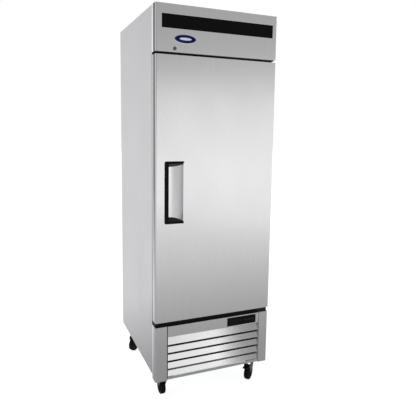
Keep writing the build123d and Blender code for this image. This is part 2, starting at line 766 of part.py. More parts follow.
def fan_blades(x, z, y0, y1, radius, hub_radius, bore_radius, blades):
    """A hub and pitched blades turning about Y, inside the current part."""
    spindle(x, z, y0, y1, hub_radius)
    middle = (y0 + y1) / 2
    for blade in range(blades):
        turn = 360.0 * blade / blades
        along = (cos(radians(turn)), 0, sin(radians(turn)))
        facing = (-sin(radians(turn)) * sin(radians(blade_pitch)), -cos(radians(blade_pitch)),
                  cos(radians(turn)) * sin(radians(blade_pitch)))
        with BuildSketch(Plane(origin=(x, middle, z), x_dir=along, z_dir=facing)) as paddle:
            with Locations(((radius + hub_radius - blade_root) / 2, 0)):
                RectangleRounded(radius - hub_radius + blade_root, radius * 0.42, blade_corner)
        extrude(paddle.sketch, amount=blade_half_thickness, both=True)
    spindle(x, z, y0 - 1, y1 + 1, bore_radius, Mode.SUBTRACT)


shaft_radius = 4.0
evap_fan_y = unit_front + 30.0
evap_hub_radius = 24.0
evap_hub_half = 10.0
evap_motor_radius = 34.0
evap_motor_length = 42.0
bracket_half = 6.0
with BuildPart() as evaporator_fan:
    fan_blades(0, evap_fan_z, evap_fan_y - evap_hub_half, evap_fan_y + evap_hub_half,
               evap_fan_radius, evap_hub_radius, shaft_radius + running, blade_count)
save(evaporator_fan.part, "evaporator_fan")

evap_motor_y = evap_fan_y + 16.0
with BuildPart() as evaporator_fan_motor:
    spindle(0, evap_fan_z, evap_motor_y, evap_motor_y + evap_motor_length, evap_motor_radius)
    spindle(0, evap_fan_z, evap_fan_y - evap_hub_half + 2.0, evap_motor_y, shaft_radius)
    span(-bracket_half, bracket_half, evap_motor_y + evap_motor_length / 3,
         evap_motor_y + 2 * evap_motor_length / 3, unit_bottom + unit_sheet, cavity_top)
save(evaporator_fan_motor.part, "evaporator_fan_motor")

coil_frame = 6.0
fin_depth = 8.0


def finned_coil(x0, x1, y0, y1, z0, z1, fins):
    """A coil block: end plates and a core cut into fins, inside the current part."""
    span(x0, x1, y0, y1, z0, z1)
    pitch = (x1 - x0 - 2 * coil_frame) / fins
    for fin in range(fins):
        slot_x = x0 + coil_frame + (fin + 0.5) * pitch
        span(slot_x - pitch / 4, slot_x + pitch / 4, y0 - 1, y0 + fin_depth,
             z0 + coil_frame, z1 - coil_frame, Mode.SUBTRACT)


with BuildPart() as evaporator_coil:
    coil_half = unit_half - coil_margin
    coil_back = cavity_back - coil_margin
    hanger_bottom = cavity_top - hanger_height
    finned_coil(-coil_half, coil_half, evap_coil_front, coil_back,
                unit_bottom + drip_gap, hanger_bottom, evap_fin_slots)
    span(-coil_half, coil_half, evap_coil_front, coil_back, hanger_bottom, cavity_top)
save(evaporator_coil.part, "evaporator_coil")

# Cooling unit below

coil_left = -250.0
coil_right = 140.0
coil_front = cabinet_y + 30.0
coil_depth = 60.0
coil_top = deck_bottom - 25.0
cond_fin_slots = 30
cond_fan_margin = 19.5  # between the fan and the coil's lower and upper edge
cond_fan_behind = 45.0  # fan's middle behind the coil
cond_hub_radius = 28.0
cond_hub_half = 12.0
cond_motor_radius = 42.0
cond_motor_length = 60.0
cond_fan_x = (coil_left + coil_right) / 2
cond_fan_z = (frame_floor_top + coil_top) / 2
cond_fan_radius = (coil_top - frame_floor_top) / 2 - cond_fan_margin
cond_fan_y = coil_front + coil_depth + cond_fan_behind
with BuildPart() as condenser_coil:
    finned_coil(coil_left, coil_right, coil_front, coil_front + coil_depth,
                frame_floor_top, coil_top, cond_fin_slots)
save(condenser_coil.part, "condenser_coil")

with BuildPart() as condenser_fan:
    fan_blades(cond_fan_x, cond_fan_z, cond_fan_y - cond_hub_half, cond_fan_y + cond_hub_half,
               cond_fan_radius, cond_hub_radius, shaft_radius + running, blade_count)
save(condenser_fan.part, "condenser_fan")

cond_motor_y = cond_fan_y + 40.0
with BuildPart() as condenser_fan_motor:
    spindle(cond_fan_x, cond_fan_z, cond_motor_y, cond_motor_y + cond_motor_length, cond_motor_radius)
    spindle(cond_fan_x, cond_fan_z, cond_fan_y - cond_hub_half + 2.0, cond_motor_y, shaft_radius)
    span(cond_fan_x - 20.0, cond_fan_x + 20.0, cond_motor_y + 20.0, cond_motor_y + 44.0,
         frame_floor_top, cond_fan_z)
    span(cond_fan_x - 60.0, cond_fan_x + 60.0, cond_motor_y + 10.0, cond_motor_y + 54.0,
         frame_floor_top, frame_floor_top + 3.0)
save(condenser_fan_motor.part, "condenser_fan_motor")

compressor_x = -150.0
compressor_y = back_y - 190.0
compressor_radius = 88.0
compressor_base = frame_floor_top + 22.0
pipe_headroom = 76.0  # between the compressor and the deck
compressor_top = deck_bottom - pipe_headroom
dome_radius = 45.0
with BuildPart() as compressor:
    post(compressor_x, compressor_y, compressor_base, compressor_top, compressor_radius)
    fillet(compressor.faces().sort_by(Axis.Z)[-1].edges(), dome_radius)
    span(compressor_x - 110.0, compressor_x + 110.0, compressor_y - 75.0, compressor_y + 75.0,
         compressor_base - 4.0, compressor_base + 2.0)
    for foot_x in (-90.0, 90.0):
        for foot_y in (-58.0, 58.0):
            post(compressor_x + foot_x, compressor_y + foot_y, frame_floor_top, compressor_base, 12.0)
    span(compressor_x + compressor_radius - 10.0, compressor_x + compressor_radius + 28.0,
         compressor_y - 28.0, compressor_y + 28.0, compressor_base + 50.0, compressor_base + 120.0)
save(compressor.part, "compressor")

pan_wall = 1.5
pan_height = 42.0
pan_left = 20.0
pan_right = 300.0
pan_back = back_y - 40.0
pan_front = pan_back - 300.0
with BuildPart() as evaporation_pan:
    span(pan_left, pan_right, pan_front, pan_back, frame_floor_top, frame_floor_top + pan_height)
    span(pan_left + pan_wall, pan_right - pan_wall, pan_front + pan_wall, pan_back - pan_wall,
         frame_floor_top + pan_wall, frame_floor_top + pan_height + 1, Mode.SUBTRACT)
save(evaporation_pan.part, "evaporation_pan")

# Copper pipes: hot gas from the compressor to the condenser, and suction up to the deck.
pipe_radius = 4.5
pipe_bend = 22.0
hot_route = [
    (compressor_x - 40.0, compressor_y, compressor_top - 6.0),
    (compressor_x - 40.0, compressor_y, deck_bottom - 24.0),
    (coil_left - 30.0, compressor_y, deck_bottom - 24.0),
    (coil_left - 30.0, coil_front + coil_depth / 2, deck_bottom - 24.0),
    (coil_left - 30.0, coil_front + coil_depth / 2, coil_top - 60.0),
    (coil_left, coil_front + coil_depth / 2, coil_top - 60.0),
]
suction_route = [
    (compressor_x + 40.0, compressor_y, compressor_top - 6.0),
    (compressor_x + 40.0, compressor_y, deck_bottom - 20.0),
    (compressor_x + 40.0, back_y - 30.0, deck_bottom - 20.0),
]
with BuildPart() as refrigerant_pipes:
    for route in (hot_route, suction_route):
        with BuildLine() as pipe_line:
            FilletPolyline(*route, radius=pipe_bend)
        with BuildSketch(Plane(origin=route[0], z_dir=(0, 0, 1))):
            Circle(pipe_radius)
        sweep(path=pipe_line.wires()[0])
save(refrigerant_pipes.part, "refrigerant_pipes")

with BuildPart() as cord_gland:
    spindle(gland_x, gland_z, back_y - skin - 8.0, back_y, gland_radius)
    spindle(gland_x, gland_z, back_y - skin - 8.0, back_y - skin, gland_radius + 5.0)
    spindle(gland_x, gland_z, back_y - skin - 9.0, back_y + 1, 4.5, Mode.SUBTRACT)
save(cord_gland.part, "cord_gland")

# Casters

wheel_width = 28.0
wheel_trail = 28.0
caster_inset = 66.0
caster_front = 75.0  # front swivel axis behind the front of the door
caster_rear = 116.0  # rear swivel axis in front of the back panel
plate_length = 100.0
plate_thickness = 4.0
race_radius = 26.0
race_height = 11.0
kingpin_radius = 6.0
pin_head_height = 6.0
pin_head_radius = 11.0
axle_boss = 11.0
tyre_round = 5.0
fork_plate = 4.0
fork_leg = 3.0
axle_radius = 4.0
leg_gap = 2.0
pedal_y = 46.0
pedal_z = 2 * wheel_radius + 6.0
pedal_pin = 3.0
pedal_reach = 44.0

plate_bottom = body_bottom - plate_thickness
race_bottom = plate_bottom - race_height
fork_top = race_bottom - touch
leg_inner = wheel_width / 2 + leg_gap

caster_x = half_width - caster_inset
caster_front_y = front_y + caster_front
caster_rear_y = back_y - caster_rear
# name: swivel position and how far the wheel is turned from trailing straight back
casters = {
    "front_left": (-caster_x, caster_front_y, 0.0),
    "front_right": (caster_x, caster_front_y, 131.0),
    "rear_left": (-caster_x, caster_rear_y, 130.0),
    "rear_right": (caster_x, caster_rear_y, 20.0),
}

with BuildPart() as caster_plates:
    for x, y, turn in casters.values():
        span(x - plate_length / 2, x + plate_length / 2, y - plate_length / 2, y + plate_length / 2,
             plate_bottom, body_bottom)
        post(x, y, race_bottom, plate_bottom, race_radius)
        pin_bottom = fork_top - fork_plate - pin_head_height
        post(x, y, pin_bottom, race_bottom, kingpin_radius)
        post(x, y, pin_bottom, fork_top - fork_plate - touch, pin_head_radius)
save(caster_plates.part, "caster_plates")


def caster_frame(x, y, turn):
    """Local frame of a caster: its y axis points the way the wheel trails."""
    direction = (cos(radians(turn)), sin(radians(turn)), 0)
    return Plane(origin=(x, y, 0), x_dir=direction, z_dir=(0, 0, 1))


def cross_cylinder(frame, trail, height, half_length, radius, mode=Mode.ADD):
    """A cylinder across the caster, along the local x axis."""
    centre = frame.from_local_coords(Vector(-half_length, trail, height))
    with BuildSketch(Plane(origin=centre, x_dir=frame.y_dir, z_dir=frame.x_dir)) as disc:
        Circle(radius)
    extrude(disc.sketch, amount=2 * half_length, mode=mode)


for place, (x, y, turn) in casters.items():
    frame = caster_frame(x, y, turn)
    braked = place.startswith("front")
    with BuildPart() as fork:
        post(x, y, fork_top - fork_plate, fork_top, race_radius + 4.0)
        for side in (-1, 1):
            start = leg_inner if side > 0 else -leg_inner - fork_leg
            side_plane = Plane(origin=frame.from_local_coords(Vector(start, 0, 0)),
                               x_dir=frame.y_dir, z_dir=frame.x_dir)
            with BuildSketch(side_plane) as leg:
                with BuildLine():
                    Polyline((-20.0, fork_top), (24.0, fork_top), (pedal_y + 7.0, pedal_z + 6.0),
                             (pedal_y + 7.0, pedal_z - 8.0), (wheel_trail + axle_boss, wheel_radius),
                             (wheel_trail, wheel_radius - axle_boss),
                             (wheel_trail - axle_boss, wheel_radius),
                             close=True)
                make_face()
            extrude(amount=fork_leg)
        cross_cylinder(frame, wheel_trail, wheel_radius, leg_inner + fork_leg + 3.0, axle_radius)
        post(x, y, fork_top - fork_plate - 1, fork_top + 1, kingpin_radius + running, Mode.SUBTRACT)
        if braked:
            cross_cylinder(frame, pedal_y, pedal_z, leg_inner + fork_leg + 1.0, pedal_pin + running,
                           Mode.SUBTRACT)
    save(fork.part, f"{place}_caster_fork")

    with BuildPart() as wheel:
        cross_cylinder(frame, wheel_trail, wheel_radius, wheel_width / 2, wheel_radius)
        fillet(wheel.edges().filter_by(GeomType.CIRCLE), tyre_round)
        cross_cylinder(frame, wheel_trail, wheel_radius, wheel_width / 2 + leg_gap - touch, axle_boss)
        cross_cylinder(frame, wheel_trail, wheel_radius, wheel_width, axle_radius + running, Mode.SUBTRACT)
    save(wheel.part, f"{place}_caster_wheel")

    if braked:
        with BuildPart() as pedal:
            cross_cylinder(frame, pedal_y, pedal_z, leg_inner - touch, 5.0)
            cross_cylinder(frame, pedal_y, pedal_z, leg_inner + fork_leg, pedal_pin)
            tread = Plane(origin=frame.from_local_coords(Vector(0, pedal_y, pedal_z - 2.0)),
                          x_dir=frame.x_dir, z_dir=(0, 0, 1))
            with BuildSketch(tread):
                with Locations((0, pedal_reach / 2)):
                    RectangleRounded(2 * leg_inner - 2.0, pedal_reach, 4.0)
            extrude(amount=4.0)
        save(pedal.part, f"{place}_brake_pedal")

print("pieces written to parts/")
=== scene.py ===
import bpy
import bmesh
import json
from math import atan2, cos, pi, radians, sin
from mathutils import Matrix, Vector


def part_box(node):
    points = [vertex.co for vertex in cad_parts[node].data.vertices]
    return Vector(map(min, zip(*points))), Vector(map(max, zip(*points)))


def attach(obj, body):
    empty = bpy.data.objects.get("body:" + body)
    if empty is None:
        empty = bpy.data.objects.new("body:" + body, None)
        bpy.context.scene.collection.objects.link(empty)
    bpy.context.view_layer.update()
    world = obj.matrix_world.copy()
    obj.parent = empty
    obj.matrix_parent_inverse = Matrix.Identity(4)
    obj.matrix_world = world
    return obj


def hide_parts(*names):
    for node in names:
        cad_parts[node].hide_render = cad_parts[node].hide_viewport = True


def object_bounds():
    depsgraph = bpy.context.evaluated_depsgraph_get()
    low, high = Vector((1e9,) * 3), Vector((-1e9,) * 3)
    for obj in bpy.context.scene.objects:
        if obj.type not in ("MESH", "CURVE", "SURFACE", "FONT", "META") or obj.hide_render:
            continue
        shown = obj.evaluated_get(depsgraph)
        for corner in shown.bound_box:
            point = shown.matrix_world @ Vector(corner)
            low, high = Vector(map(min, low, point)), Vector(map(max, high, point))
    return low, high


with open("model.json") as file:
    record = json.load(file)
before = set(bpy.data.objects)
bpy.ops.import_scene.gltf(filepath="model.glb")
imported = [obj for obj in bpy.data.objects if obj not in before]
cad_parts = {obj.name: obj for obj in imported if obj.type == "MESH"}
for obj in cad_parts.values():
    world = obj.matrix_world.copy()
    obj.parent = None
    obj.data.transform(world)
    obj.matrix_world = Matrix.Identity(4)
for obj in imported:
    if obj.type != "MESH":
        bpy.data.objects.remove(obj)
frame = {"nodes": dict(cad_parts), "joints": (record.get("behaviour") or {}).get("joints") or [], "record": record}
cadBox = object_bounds()
nodes = frame["nodes"]
joints = {joint["name"]: joint for joint in frame["joints"]}
slotOf = {part["node"]: part["material_slot"] for part in frame["record"]["subparts"]}
bodyOf = {name: body for body, names in frame["record"]["behaviour"]["bodies"].items() for name in names}
halfWidth = cadBox[1][0]
upward, sideways = (0.0, 0.0, 1.0), (1.0, 0.0, 0.0)
forward, backward = (0.0, -1.0, 0.0), (0.0, 1.0, 0.0)
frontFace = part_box("door_outer_skin")[0][1]
print("frame loaded:", len(nodes), "nodes")


# helpers for node materials

def newMaterial(name):
    material = bpy.data.materials.new(name)
    material.use_nodes = True
    shader = material.node_tree.nodes["Principled BSDF"]
    return material, material.node_tree, shader


def addNode(tree, kind, **settings):
    node = tree.nodes.new(kind)
    for key, value in settings.items():
        setattr(node, key, value)
    return node


def objectPattern(tree, scale, detail=3.0):
    # a noise stretched along the axes with a small scale, in object coordinates
    coords = addNode(tree, "ShaderNodeTexCoord")
    mapping = addNode(tree, "ShaderNodeMapping")
    mapping.inputs["Scale"].default_value = scale
    tree.links.new(coords.outputs["Object"], mapping.inputs["Vector"])
    noise = addNode(tree, "ShaderNodeTexNoise")
    noise.inputs["Scale"].default_value = 1.0
    noise.inputs["Detail"].default_value = detail
    noise.inputs["Roughness"].default_value = 0.6
    tree.links.new(mapping.outputs["Vector"], noise.inputs["Vector"])
    return noise.outputs[0]


def remap(tree, value, low, high, outLow, outHigh):
    node = addNode(tree, "ShaderNodeMapRange")
    for key, number in (("From Min", low), ("From Max", high), ("To Min", outLow), ("To Max", outHigh)):
        node.inputs[key].default_value = number
    tree.links.new(value, node.inputs["Value"])
    return node.outputs["Result"]


def maths(tree, operation, first, second=None):
    node = addNode(tree, "ShaderNodeMath", operation=operation)
    for socket, value in zip(node.inputs, (first, second)):
        if isinstance(value, float):
            socket.default_value = value
        elif value is not None:
            tree.links.new(value, socket)
    return node.outputs[0]


def objectAxis(tree, axis):
    coords = addNode(tree, "ShaderNodeTexCoord")
    split = addNode(tree, "ShaderNodeSeparateXYZ")
    tree.links.new(coords.outputs["Object"], split.inputs[0])
    return split.outputs[axis]


def mixColour(tree, factor, first, second):
    node = addNode(tree, "ShaderNodeMix", data_type="RGBA")
    for key, colour in (("A", first), ("B", second)):
        if isinstance(colour, tuple):
            node.inputs[key].default_value = (*colour, 1.0)
        else:
            tree.links.new(colour, node.inputs[key])
    tree.links.new(factor, node.inputs["Factor"])
    return node.outputs["Result"]


def cameraMix(tree, lighting, seen):
    # one strength for lighting, another for what the camera sees
    path = addNode(tree, "ShaderNodeLightPath")
    choose = addNode(tree, "ShaderNodeMix", data_type="FLOAT")
    tree.links.new(path.outputs["Is Camera Ray"], choose.inputs["Factor"])
    tree.links.new(lighting, choose.inputs["A"])
    choose.inputs["B"].default_value = seen
    return choose.outputs["Result"]


def addBump(tree, shader, height, strength, distance):
    bump = addNode(tree, "ShaderNodeBump")
    bump.inputs["Strength"].default_value = strength
    bump.inputs["Distance"].default_value = distance
    tree.links.new(height, bump.inputs["Height"])
    tree.links.new(bump.outputs["Normal"], shader.inputs["Normal"])


def brushedMetal(name, light, dark, rough, grain, paintedReturnHighlight=None, along=None):
    # fine brush lines along one axis, with faint cloudy handling marks over them
    material, tree, shader = newMaterial(name)
    shader.inputs["Metallic"].default_value = 1.0
    lines = objectPattern(tree, grain, detail=4.0)
    clouds = objectPattern(tree, (3.1, 2.7, 1.9), detail=2.0)
    colour = mixColour(tree, remap(tree, lines, 0.3, 0.7, 0.0, 1.0), dark, light)
    if paintedReturnHighlight:
        # the folded return of a front sheet gets painted shade next to its bend, darkest higher up,
        # and a painted highlight, near white, behind it
        outer = maths(tree, "ABSOLUTE", objectAxis(tree, "X"))
        paintedShadeBack = frontFace + returnShadeAndHighlight["depth"]
        behind = remap(tree, objectAxis(tree, "Y"), paintedShadeBack, paintedShadeBack + returnShadeAndHighlight["edge"], 0.0, 1.0)
        higher = remap(tree, objectAxis(tree, "Z"), returnShadeAndHighlight["lowest"], returnShadeAndHighlight["highest"], 0.0, 1.0)
        paintedShade = mixColour(tree, higher, (0.6, 0.6, 0.6), (0.09, 0.09, 0.092))
        fold = mixColour(tree, behind, paintedShade, paintedReturnHighlight)
        colour = mixColour(tree, maths(tree, "GREATER_THAN", outer, halfWidth - 0.0006), colour, fold)
    tree.links.new(colour, shader.inputs["Base Color"])
    tree.links.new(maths(tree, "ADD", remap(tree, lines, 0.3, 0.7, rough - 0.03, rough + 0.03),
                         remap(tree, clouds, 0.3, 0.7, -0.03, 0.03)), shader.inputs["Roughness"])
    if along:
        # brushing stretches a reflection across its lines
        surface = addNode(tree, "ShaderNodeNewGeometry")
        across = addNode(tree, "ShaderNodeVectorMath", operation="CROSS_PRODUCT")
        across.inputs[1].default_value = along
        tree.links.new(surface.outputs["Normal"], across.inputs[0])
        shader.inputs["Anisotropic"].default_value = 0.7
        tree.links.new(across.outputs["Vector"], shader.inputs["Tangent"])
    addBump(tree, shader, lines, 0.04, 0.0004)
    return material


def moulded(name, colour, rough, grainScale=900.0, bump=0.12, spread=0.25, shine=0.5):
    # moulded plastic or paint: a fine leather-like grain with slight tone and gloss changes
    material, tree, shader = newMaterial(name)
    shader.inputs["Specular IOR Level"].default_value = shine
    grain = objectPattern(tree, (grainScale,) * 3, detail=2.0)
    patches = objectPattern(tree, (9.0, 9.0, 9.0), detail=2.0)
    darker = tuple(channel * (1.0 - spread) for channel in colour)
    lighter = tuple(min(1.0, channel * (1.0 + spread)) for channel in colour)
    tree.links.new(mixColour(tree, remap(tree, patches, 0.3, 0.7, 0.0, 1.0), darker, lighter),
                   shader.inputs["Base Color"])
    tree.links.new(remap(tree, patches, 0.3, 0.7, rough - 0.05, rough + 0.05), shader.inputs["Roughness"])
    addBump(tree, shader, grain, bump, 0.0003)
    return material


# painted shade on the returns of the front sheets reaches this depth, darker and darker between the two heights,
# with a painted highlight behind it
returnShadeAndHighlight = {"depth": 0.036, "edge": 0.004, "lowest": 0.55, "highest": 1.2}
upGrain = (700.0, 700.0, 3.0)
acrossGrain = (3.0, 700.0, 700.0)
finish = {
    # the front steel has a painted highlight and painted shade on the folded returns of its sheets
    "frontSteel": brushedMetal("front_steel", (0.80, 0.80, 0.81), (0.74, 0.74, 0.75), 0.29, upGrain,
                               paintedReturnHighlight=(0.97, 0.97, 0.97), along=upward),
    "sideSteel": brushedMetal("side_steel", (0.60, 0.60, 0.62), (0.53, 0.53, 0.55), 0.34, upGrain),
    "slatSteel": brushedMetal("slat_steel", (0.52, 0.52, 0.52), (0.46, 0.46, 0.465), 0.2, acrossGrain,
                              along=sideways),
    "linerSteel": brushedMetal("liner_steel", (0.70, 0.70, 0.71), (0.6, 0.6, 0.61), 0.32, acrossGrain),
    "scoopSteel": brushedMetal("scoop_steel", (0.95, 0.95, 0.96), (0.8, 0.8, 0.81), 0.3,
                               (450.0, 450.0, 4.0), along=upward),
    "zincSteel": brushedMetal("zinc_steel", (0.56, 0.58, 0.60), (0.47, 0.49, 0.51), 0.42, (70.0,) * 3),
    "darkZinc": brushedMetal("dark_zinc", (0.2, 0.2, 0.21), (0.12, 0.12, 0.125), 0.38, (120.0,) * 3),
    "polished": brushedMetal("polished_steel", (0.8, 0.8, 0.81), (0.7, 0.7, 0.71), 0.12, (90.0,) * 3),
    "copper": brushedMetal("drawn_copper", (0.85, 0.47, 0.32), (0.6, 0.3, 0.2), 0.28, (60.0,) * 3),
    "fins": brushedMetal("thin_fins", (0.75, 0.76, 0.78), (0.6, 0.61, 0.63), 0.4, (300.0, 300.0, 3.0)),
    "blackPlastic": moulded("black_plastic", (0.0025, 0.0025, 0.0027), 0.5, shine=0.12),
    "greyPlastic": moulded("grey_plastic", (0.02, 0.02, 0.021), 0.5, shine=0.3),
    "blackPaint": moulded("black_paint", (0.008, 0.008, 0.0085), 0.4, 400.0, shine=0.3),
    "blueEnamel": moulded("blue_enamel", (0.003, 0.009, 0.14), 0.3, 60.0, 0.02, 0.08, shine=0.15),
    "smoked": moulded("smoked_window", (0.003, 0.003, 0.0035), 0.2, 50.0, 0.01, shine=0.2),
    "whiteEnamel": moulded("white_enamel", (0.95, 0.95, 0.95), 0.25, 60.0, 0.02, 0.02),
    "keyRubber": moulded("key_rubber", (0.012, 0.012, 0.013), 0.55),
    "sealRubber": moulded("seal_rubber", (0.02, 0.02, 0.021), 0.6, 500.0),
    "whitePlastic": moulded("white_plastic", (0.78, 0.79, 0.8), 0.38, 700.0, 0.08, 0.03),
    "whiteCoat": moulded("white_coat", (0.8, 0.81, 0.82), 0.3, 500.0, 0.08, 0.03),
    "fanPlastic": moulded("fan_plastic", (0.022, 0.022, 0.024), 0.4),
    "foam": moulded("foam", (0.75, 0.66, 0.42), 0.8, 300.0, 0.5, 0.08),
    "frosted": moulded("frosted_lens", (0.86, 0.87, 0.88), 0.3, 300.0, 0.03, 0.02),
    "tread": moulded("wheel_tread", (0.003, 0.003, 0.0032), 0.55, 250.0, 0.2, shine=0.15),
}
slotFinish = {
    "brushed_stainless": "frontSteel", "cabinet_stainless": "sideSteel", "galvanised_steel": "zincSteel",
    "insulating_foam": "foam", "black_plastic": "blackPlastic", "grey_plastic": "greyPlastic",
    "black_steel": "blackPaint", "caster_steel": "darkZinc", "badge_blue": "blueEnamel",
    "lock_chrome": "polished", "controller_black": "smoked", "key_grey": "keyRubber",
    "gasket_rubber": "sealRubber", "white_plastic": "whitePlastic", "coated_wire": "whiteCoat",
    "aluminium_fins": "fins", "fan_plastic": "fanPlastic", "motor_steel": "blackPaint",
    "copper": "copper", "tread_rubber": "tread",
}
for name, slot in slotOf.items():
    nodes[name].data.materials.clear()
    nodes[name].data.materials.append(finish[slotFinish[slot]])
for name in ("inner_liner", "door_inner_liner"):
    nodes[name].data.materials[0] = finish["linerSteel"]
nodes["handle_scoop"].data.materials[0] = finish["scoopSteel"]
print("finishes set:", len(finish))


# helpers for pieces

def roundEdges(bm, edges, radius, segments=2, clamp=True):
    return bmesh.ops.bevel(bm, geom=edges, offset=radius, offset_type="OFFSET", segments=segments,
                           profile=0.5, affect="EDGES", material=-1, clamp_overlap=clamp)


def joinPart(bm, part):
    # adds a finished part to a larger piece
    scratch = bpy.data.meshes.new("part")
    part.to_mesh(scratch)
    part.free()
    bm.from_mesh(scratch)
    bpy.data.meshes.remove(scratch)


def pulledVerts(made):
    return [item for item in made["geom"] if isinstance(item, bmesh.types.BMVert)]


def addBlock(bm, low, high, radius=0.0, segments=2):
    # a block between two corners, with rounded edges
    first, last = Vector(map(min, low, high)), Vector(map(max, low, high))
    made = bmesh.ops.create_cube(bm, size=1.0)["verts"]
    bmesh.ops.scale(bm, vec=last - first, verts=made)
    bmesh.ops.translate(bm, vec=(first + last) / 2, verts=made)
    if radius:
        edges = list({edge for vert in made for edge in vert.link_edges})
        roundEdges(bm, edges, radius, segments)


def addFrame(bm, low, high, wall, radius):
    # four bars round a panel that faces the front
    for x in (low[0], high[0] - wall):
        addBlock(bm, (x, low[1], low[2]), (x + wall, high[1], high[2]), radius)
    for z in (low[2], high[2] - wall):
        addBlock(bm, (low[0], low[1], z), (high[0], high[1], z + wall), radius)


def addRod(bm, start, end, radius, sides):
    start, end = Vector(start), Vector(end)
    along = end - start
    place = Matrix.Translation((start + end) / 2) @ along.to_track_quat("Z", "Y").to_matrix().to_4x4()
    bmesh.ops.create_cone(bm, cap_ends=True, cap_tris=False, segments=sides, radius1=radius,
                          radius2=radius, depth=along.length, matrix=place)


def quarterArc(start, reach, climb, steps):
    # points of a quarter ellipse that leaves its start sideways
    turns = [step * pi / 2 / steps for step in range(1, steps + 1)]
    return [(start[0] + reach * sin(turn), start[1] + climb * (1 - cos(turn))) for turn in turns]


def addTurned(bm, outline, centre, axis, steps=40):
    # an outline of (radius, distance along the axis) turned all the way round
    axis = Vector(axis).normalized()
    side = axis.orthogonal().normalized()
    verts = [bm.verts.new(Vector(centre) + side * radius + axis * along) for radius, along in outline]
    edges = [bm.edges.new(pair) for pair in zip(verts, verts[1:])]
    bmesh.ops.spin(bm, geom=verts + edges, cent=centre, axis=axis, angle=2 * pi, steps=steps,
                   use_merge=True)


def addPlate(bm, outline, pull, corner=0.0, rim=0.0):
    # a flat outline given a thickness, with its corners and then its rims rounded
    face = bm.faces.new([bm.verts.new(point) for point in outline])
    moved = pulledVerts(bmesh.ops.extrude_face_region(bm, geom=[face]))
    bmesh.ops.translate(bm, vec=pull, verts=moved)
    pull = Vector(pull)
    own = {edge for vert in moved for edge in vert.link_edges}
    if corner:
        upright = [edge for edge in own
                   if (edge.verts[0].co - edge.verts[1].co).cross(pull).length < 1e-7 * pull.length + 1e-12]
        rounded = roundEdges(bm, upright, corner, 5)
        moved = rounded["verts"] + [vert for vert in moved if vert.is_valid]
    if rim:
        caps = [face for face in {face for vert in moved if vert.is_valid for face in vert.link_faces}
                if abs(face.normal.dot(pull.normalized())) > 0.99 or face.normal.length < 0.5]
        edges = list({edge for face in caps for edge in face.edges})
        roundEdges(bm, edges, rim)


def addPiece(name, bm, look, like, replaced=(), crease=38.0):
    # closes the seams, turns the faces outwards and gives the piece its body and finish
    bmesh.ops.remove_doubles(bm, verts=bm.verts, dist=1e-6)
    bmesh.ops.recalc_face_normals(bm, faces=bm.faces)
    mesh = bpy.data.meshes.new(name)
    bm.to_mesh(mesh)
    bm.free()
    mesh.shade_smooth()
    mesh.set_sharp_from_angle(angle=radians(crease))
    mesh.materials.append(finish[look])
    piece = bpy.data.objects.new(name, mesh)
    bpy.context.scene.collection.objects.link(piece)
    even = piece.modifiers.new("even_normals", "WEIGHTED_NORMAL")
    even.keep_sharp = True
    even.weight = 100
    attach(piece, bodyOf[like])
    if replaced:
        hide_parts(*replaced)
    return piece


def soften(node, name, radius):
    # a copy of a plain sheet-metal solid with its sharp edges eased
    bm = bmesh.new()
    bm.from_mesh(nodes[node].data)
    bmesh.ops.remove_doubles(bm, verts=bm.verts, dist=1e-6)
    bmesh.ops.dissolve_limit(bm, angle_limit=radians(0.5), verts=bm.verts, edges=bm.edges)
    low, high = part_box(node)
    for side, gap in zip((low[0], high[0]), sideGap.get(node, ())):
        flange = [vert for vert in bm.verts if abs(vert.co.x - side) < 0.003]
        bmesh.ops.translate(bm, vec=(gap, 0.0, 0.0), verts=flange)
    sharp = [edge for edge in bm.edges if edge.is_manifold and edge.calc_face_angle(0.0) > radians(40.0)]
    roundEdges(bm, sharp, radius)
    look = next(key for key, made in finish.items() if made == nodes[node].data.materials[0])
    return addPiece(name, bm, look, node, (node,))


# shadow gaps beside a panel, and eased folds on the plain sheets and mouldings
sideGap = {"grille_panel": (0.0028, -0.0012)}
easing = {
    "header_cover": 0.0004, "left_front_post": 0.0004, "right_front_post": 0.0004, "grille_panel": 0.0003,
    "door_sill": 0.0005, "upper_hinge_bracket": 0.0008, "lower_hinge_bracket": 0.0008,
    "handle_end_caps": 0.0008, "door_outer_skin": 0.0004, "top_panel": 0.0003, "evaporation_pan": 0.0005,
    "base_frame": 0.0005, "left_side_panel": 0.0003, "right_side_panel": 0.0003, "back_panel": 0.0003,
    "shelf_pilasters": 0.0005,
}
for node, radius in easing.items():
    soften(node, node.replace("_", "-") + "-folded", radius)
print("folded sheets:", len(easing))


# door handle: a rounded bezel with a grip, over the polished scoop and the sloped caps behind it
handle = {
    "cornerRound": 0.009, "topBarLeft": 0.0140, "topBarRight": 0.0085, "bottomBar": 0.012,
    "gripWidth": 0.022, "gripDepth": 0.010, "flange": 0.003, "edgeRound": 0.0012, "gripGap": 0.006,
    "gripInset": 0.0055, "gripRound": 0.0038,
}


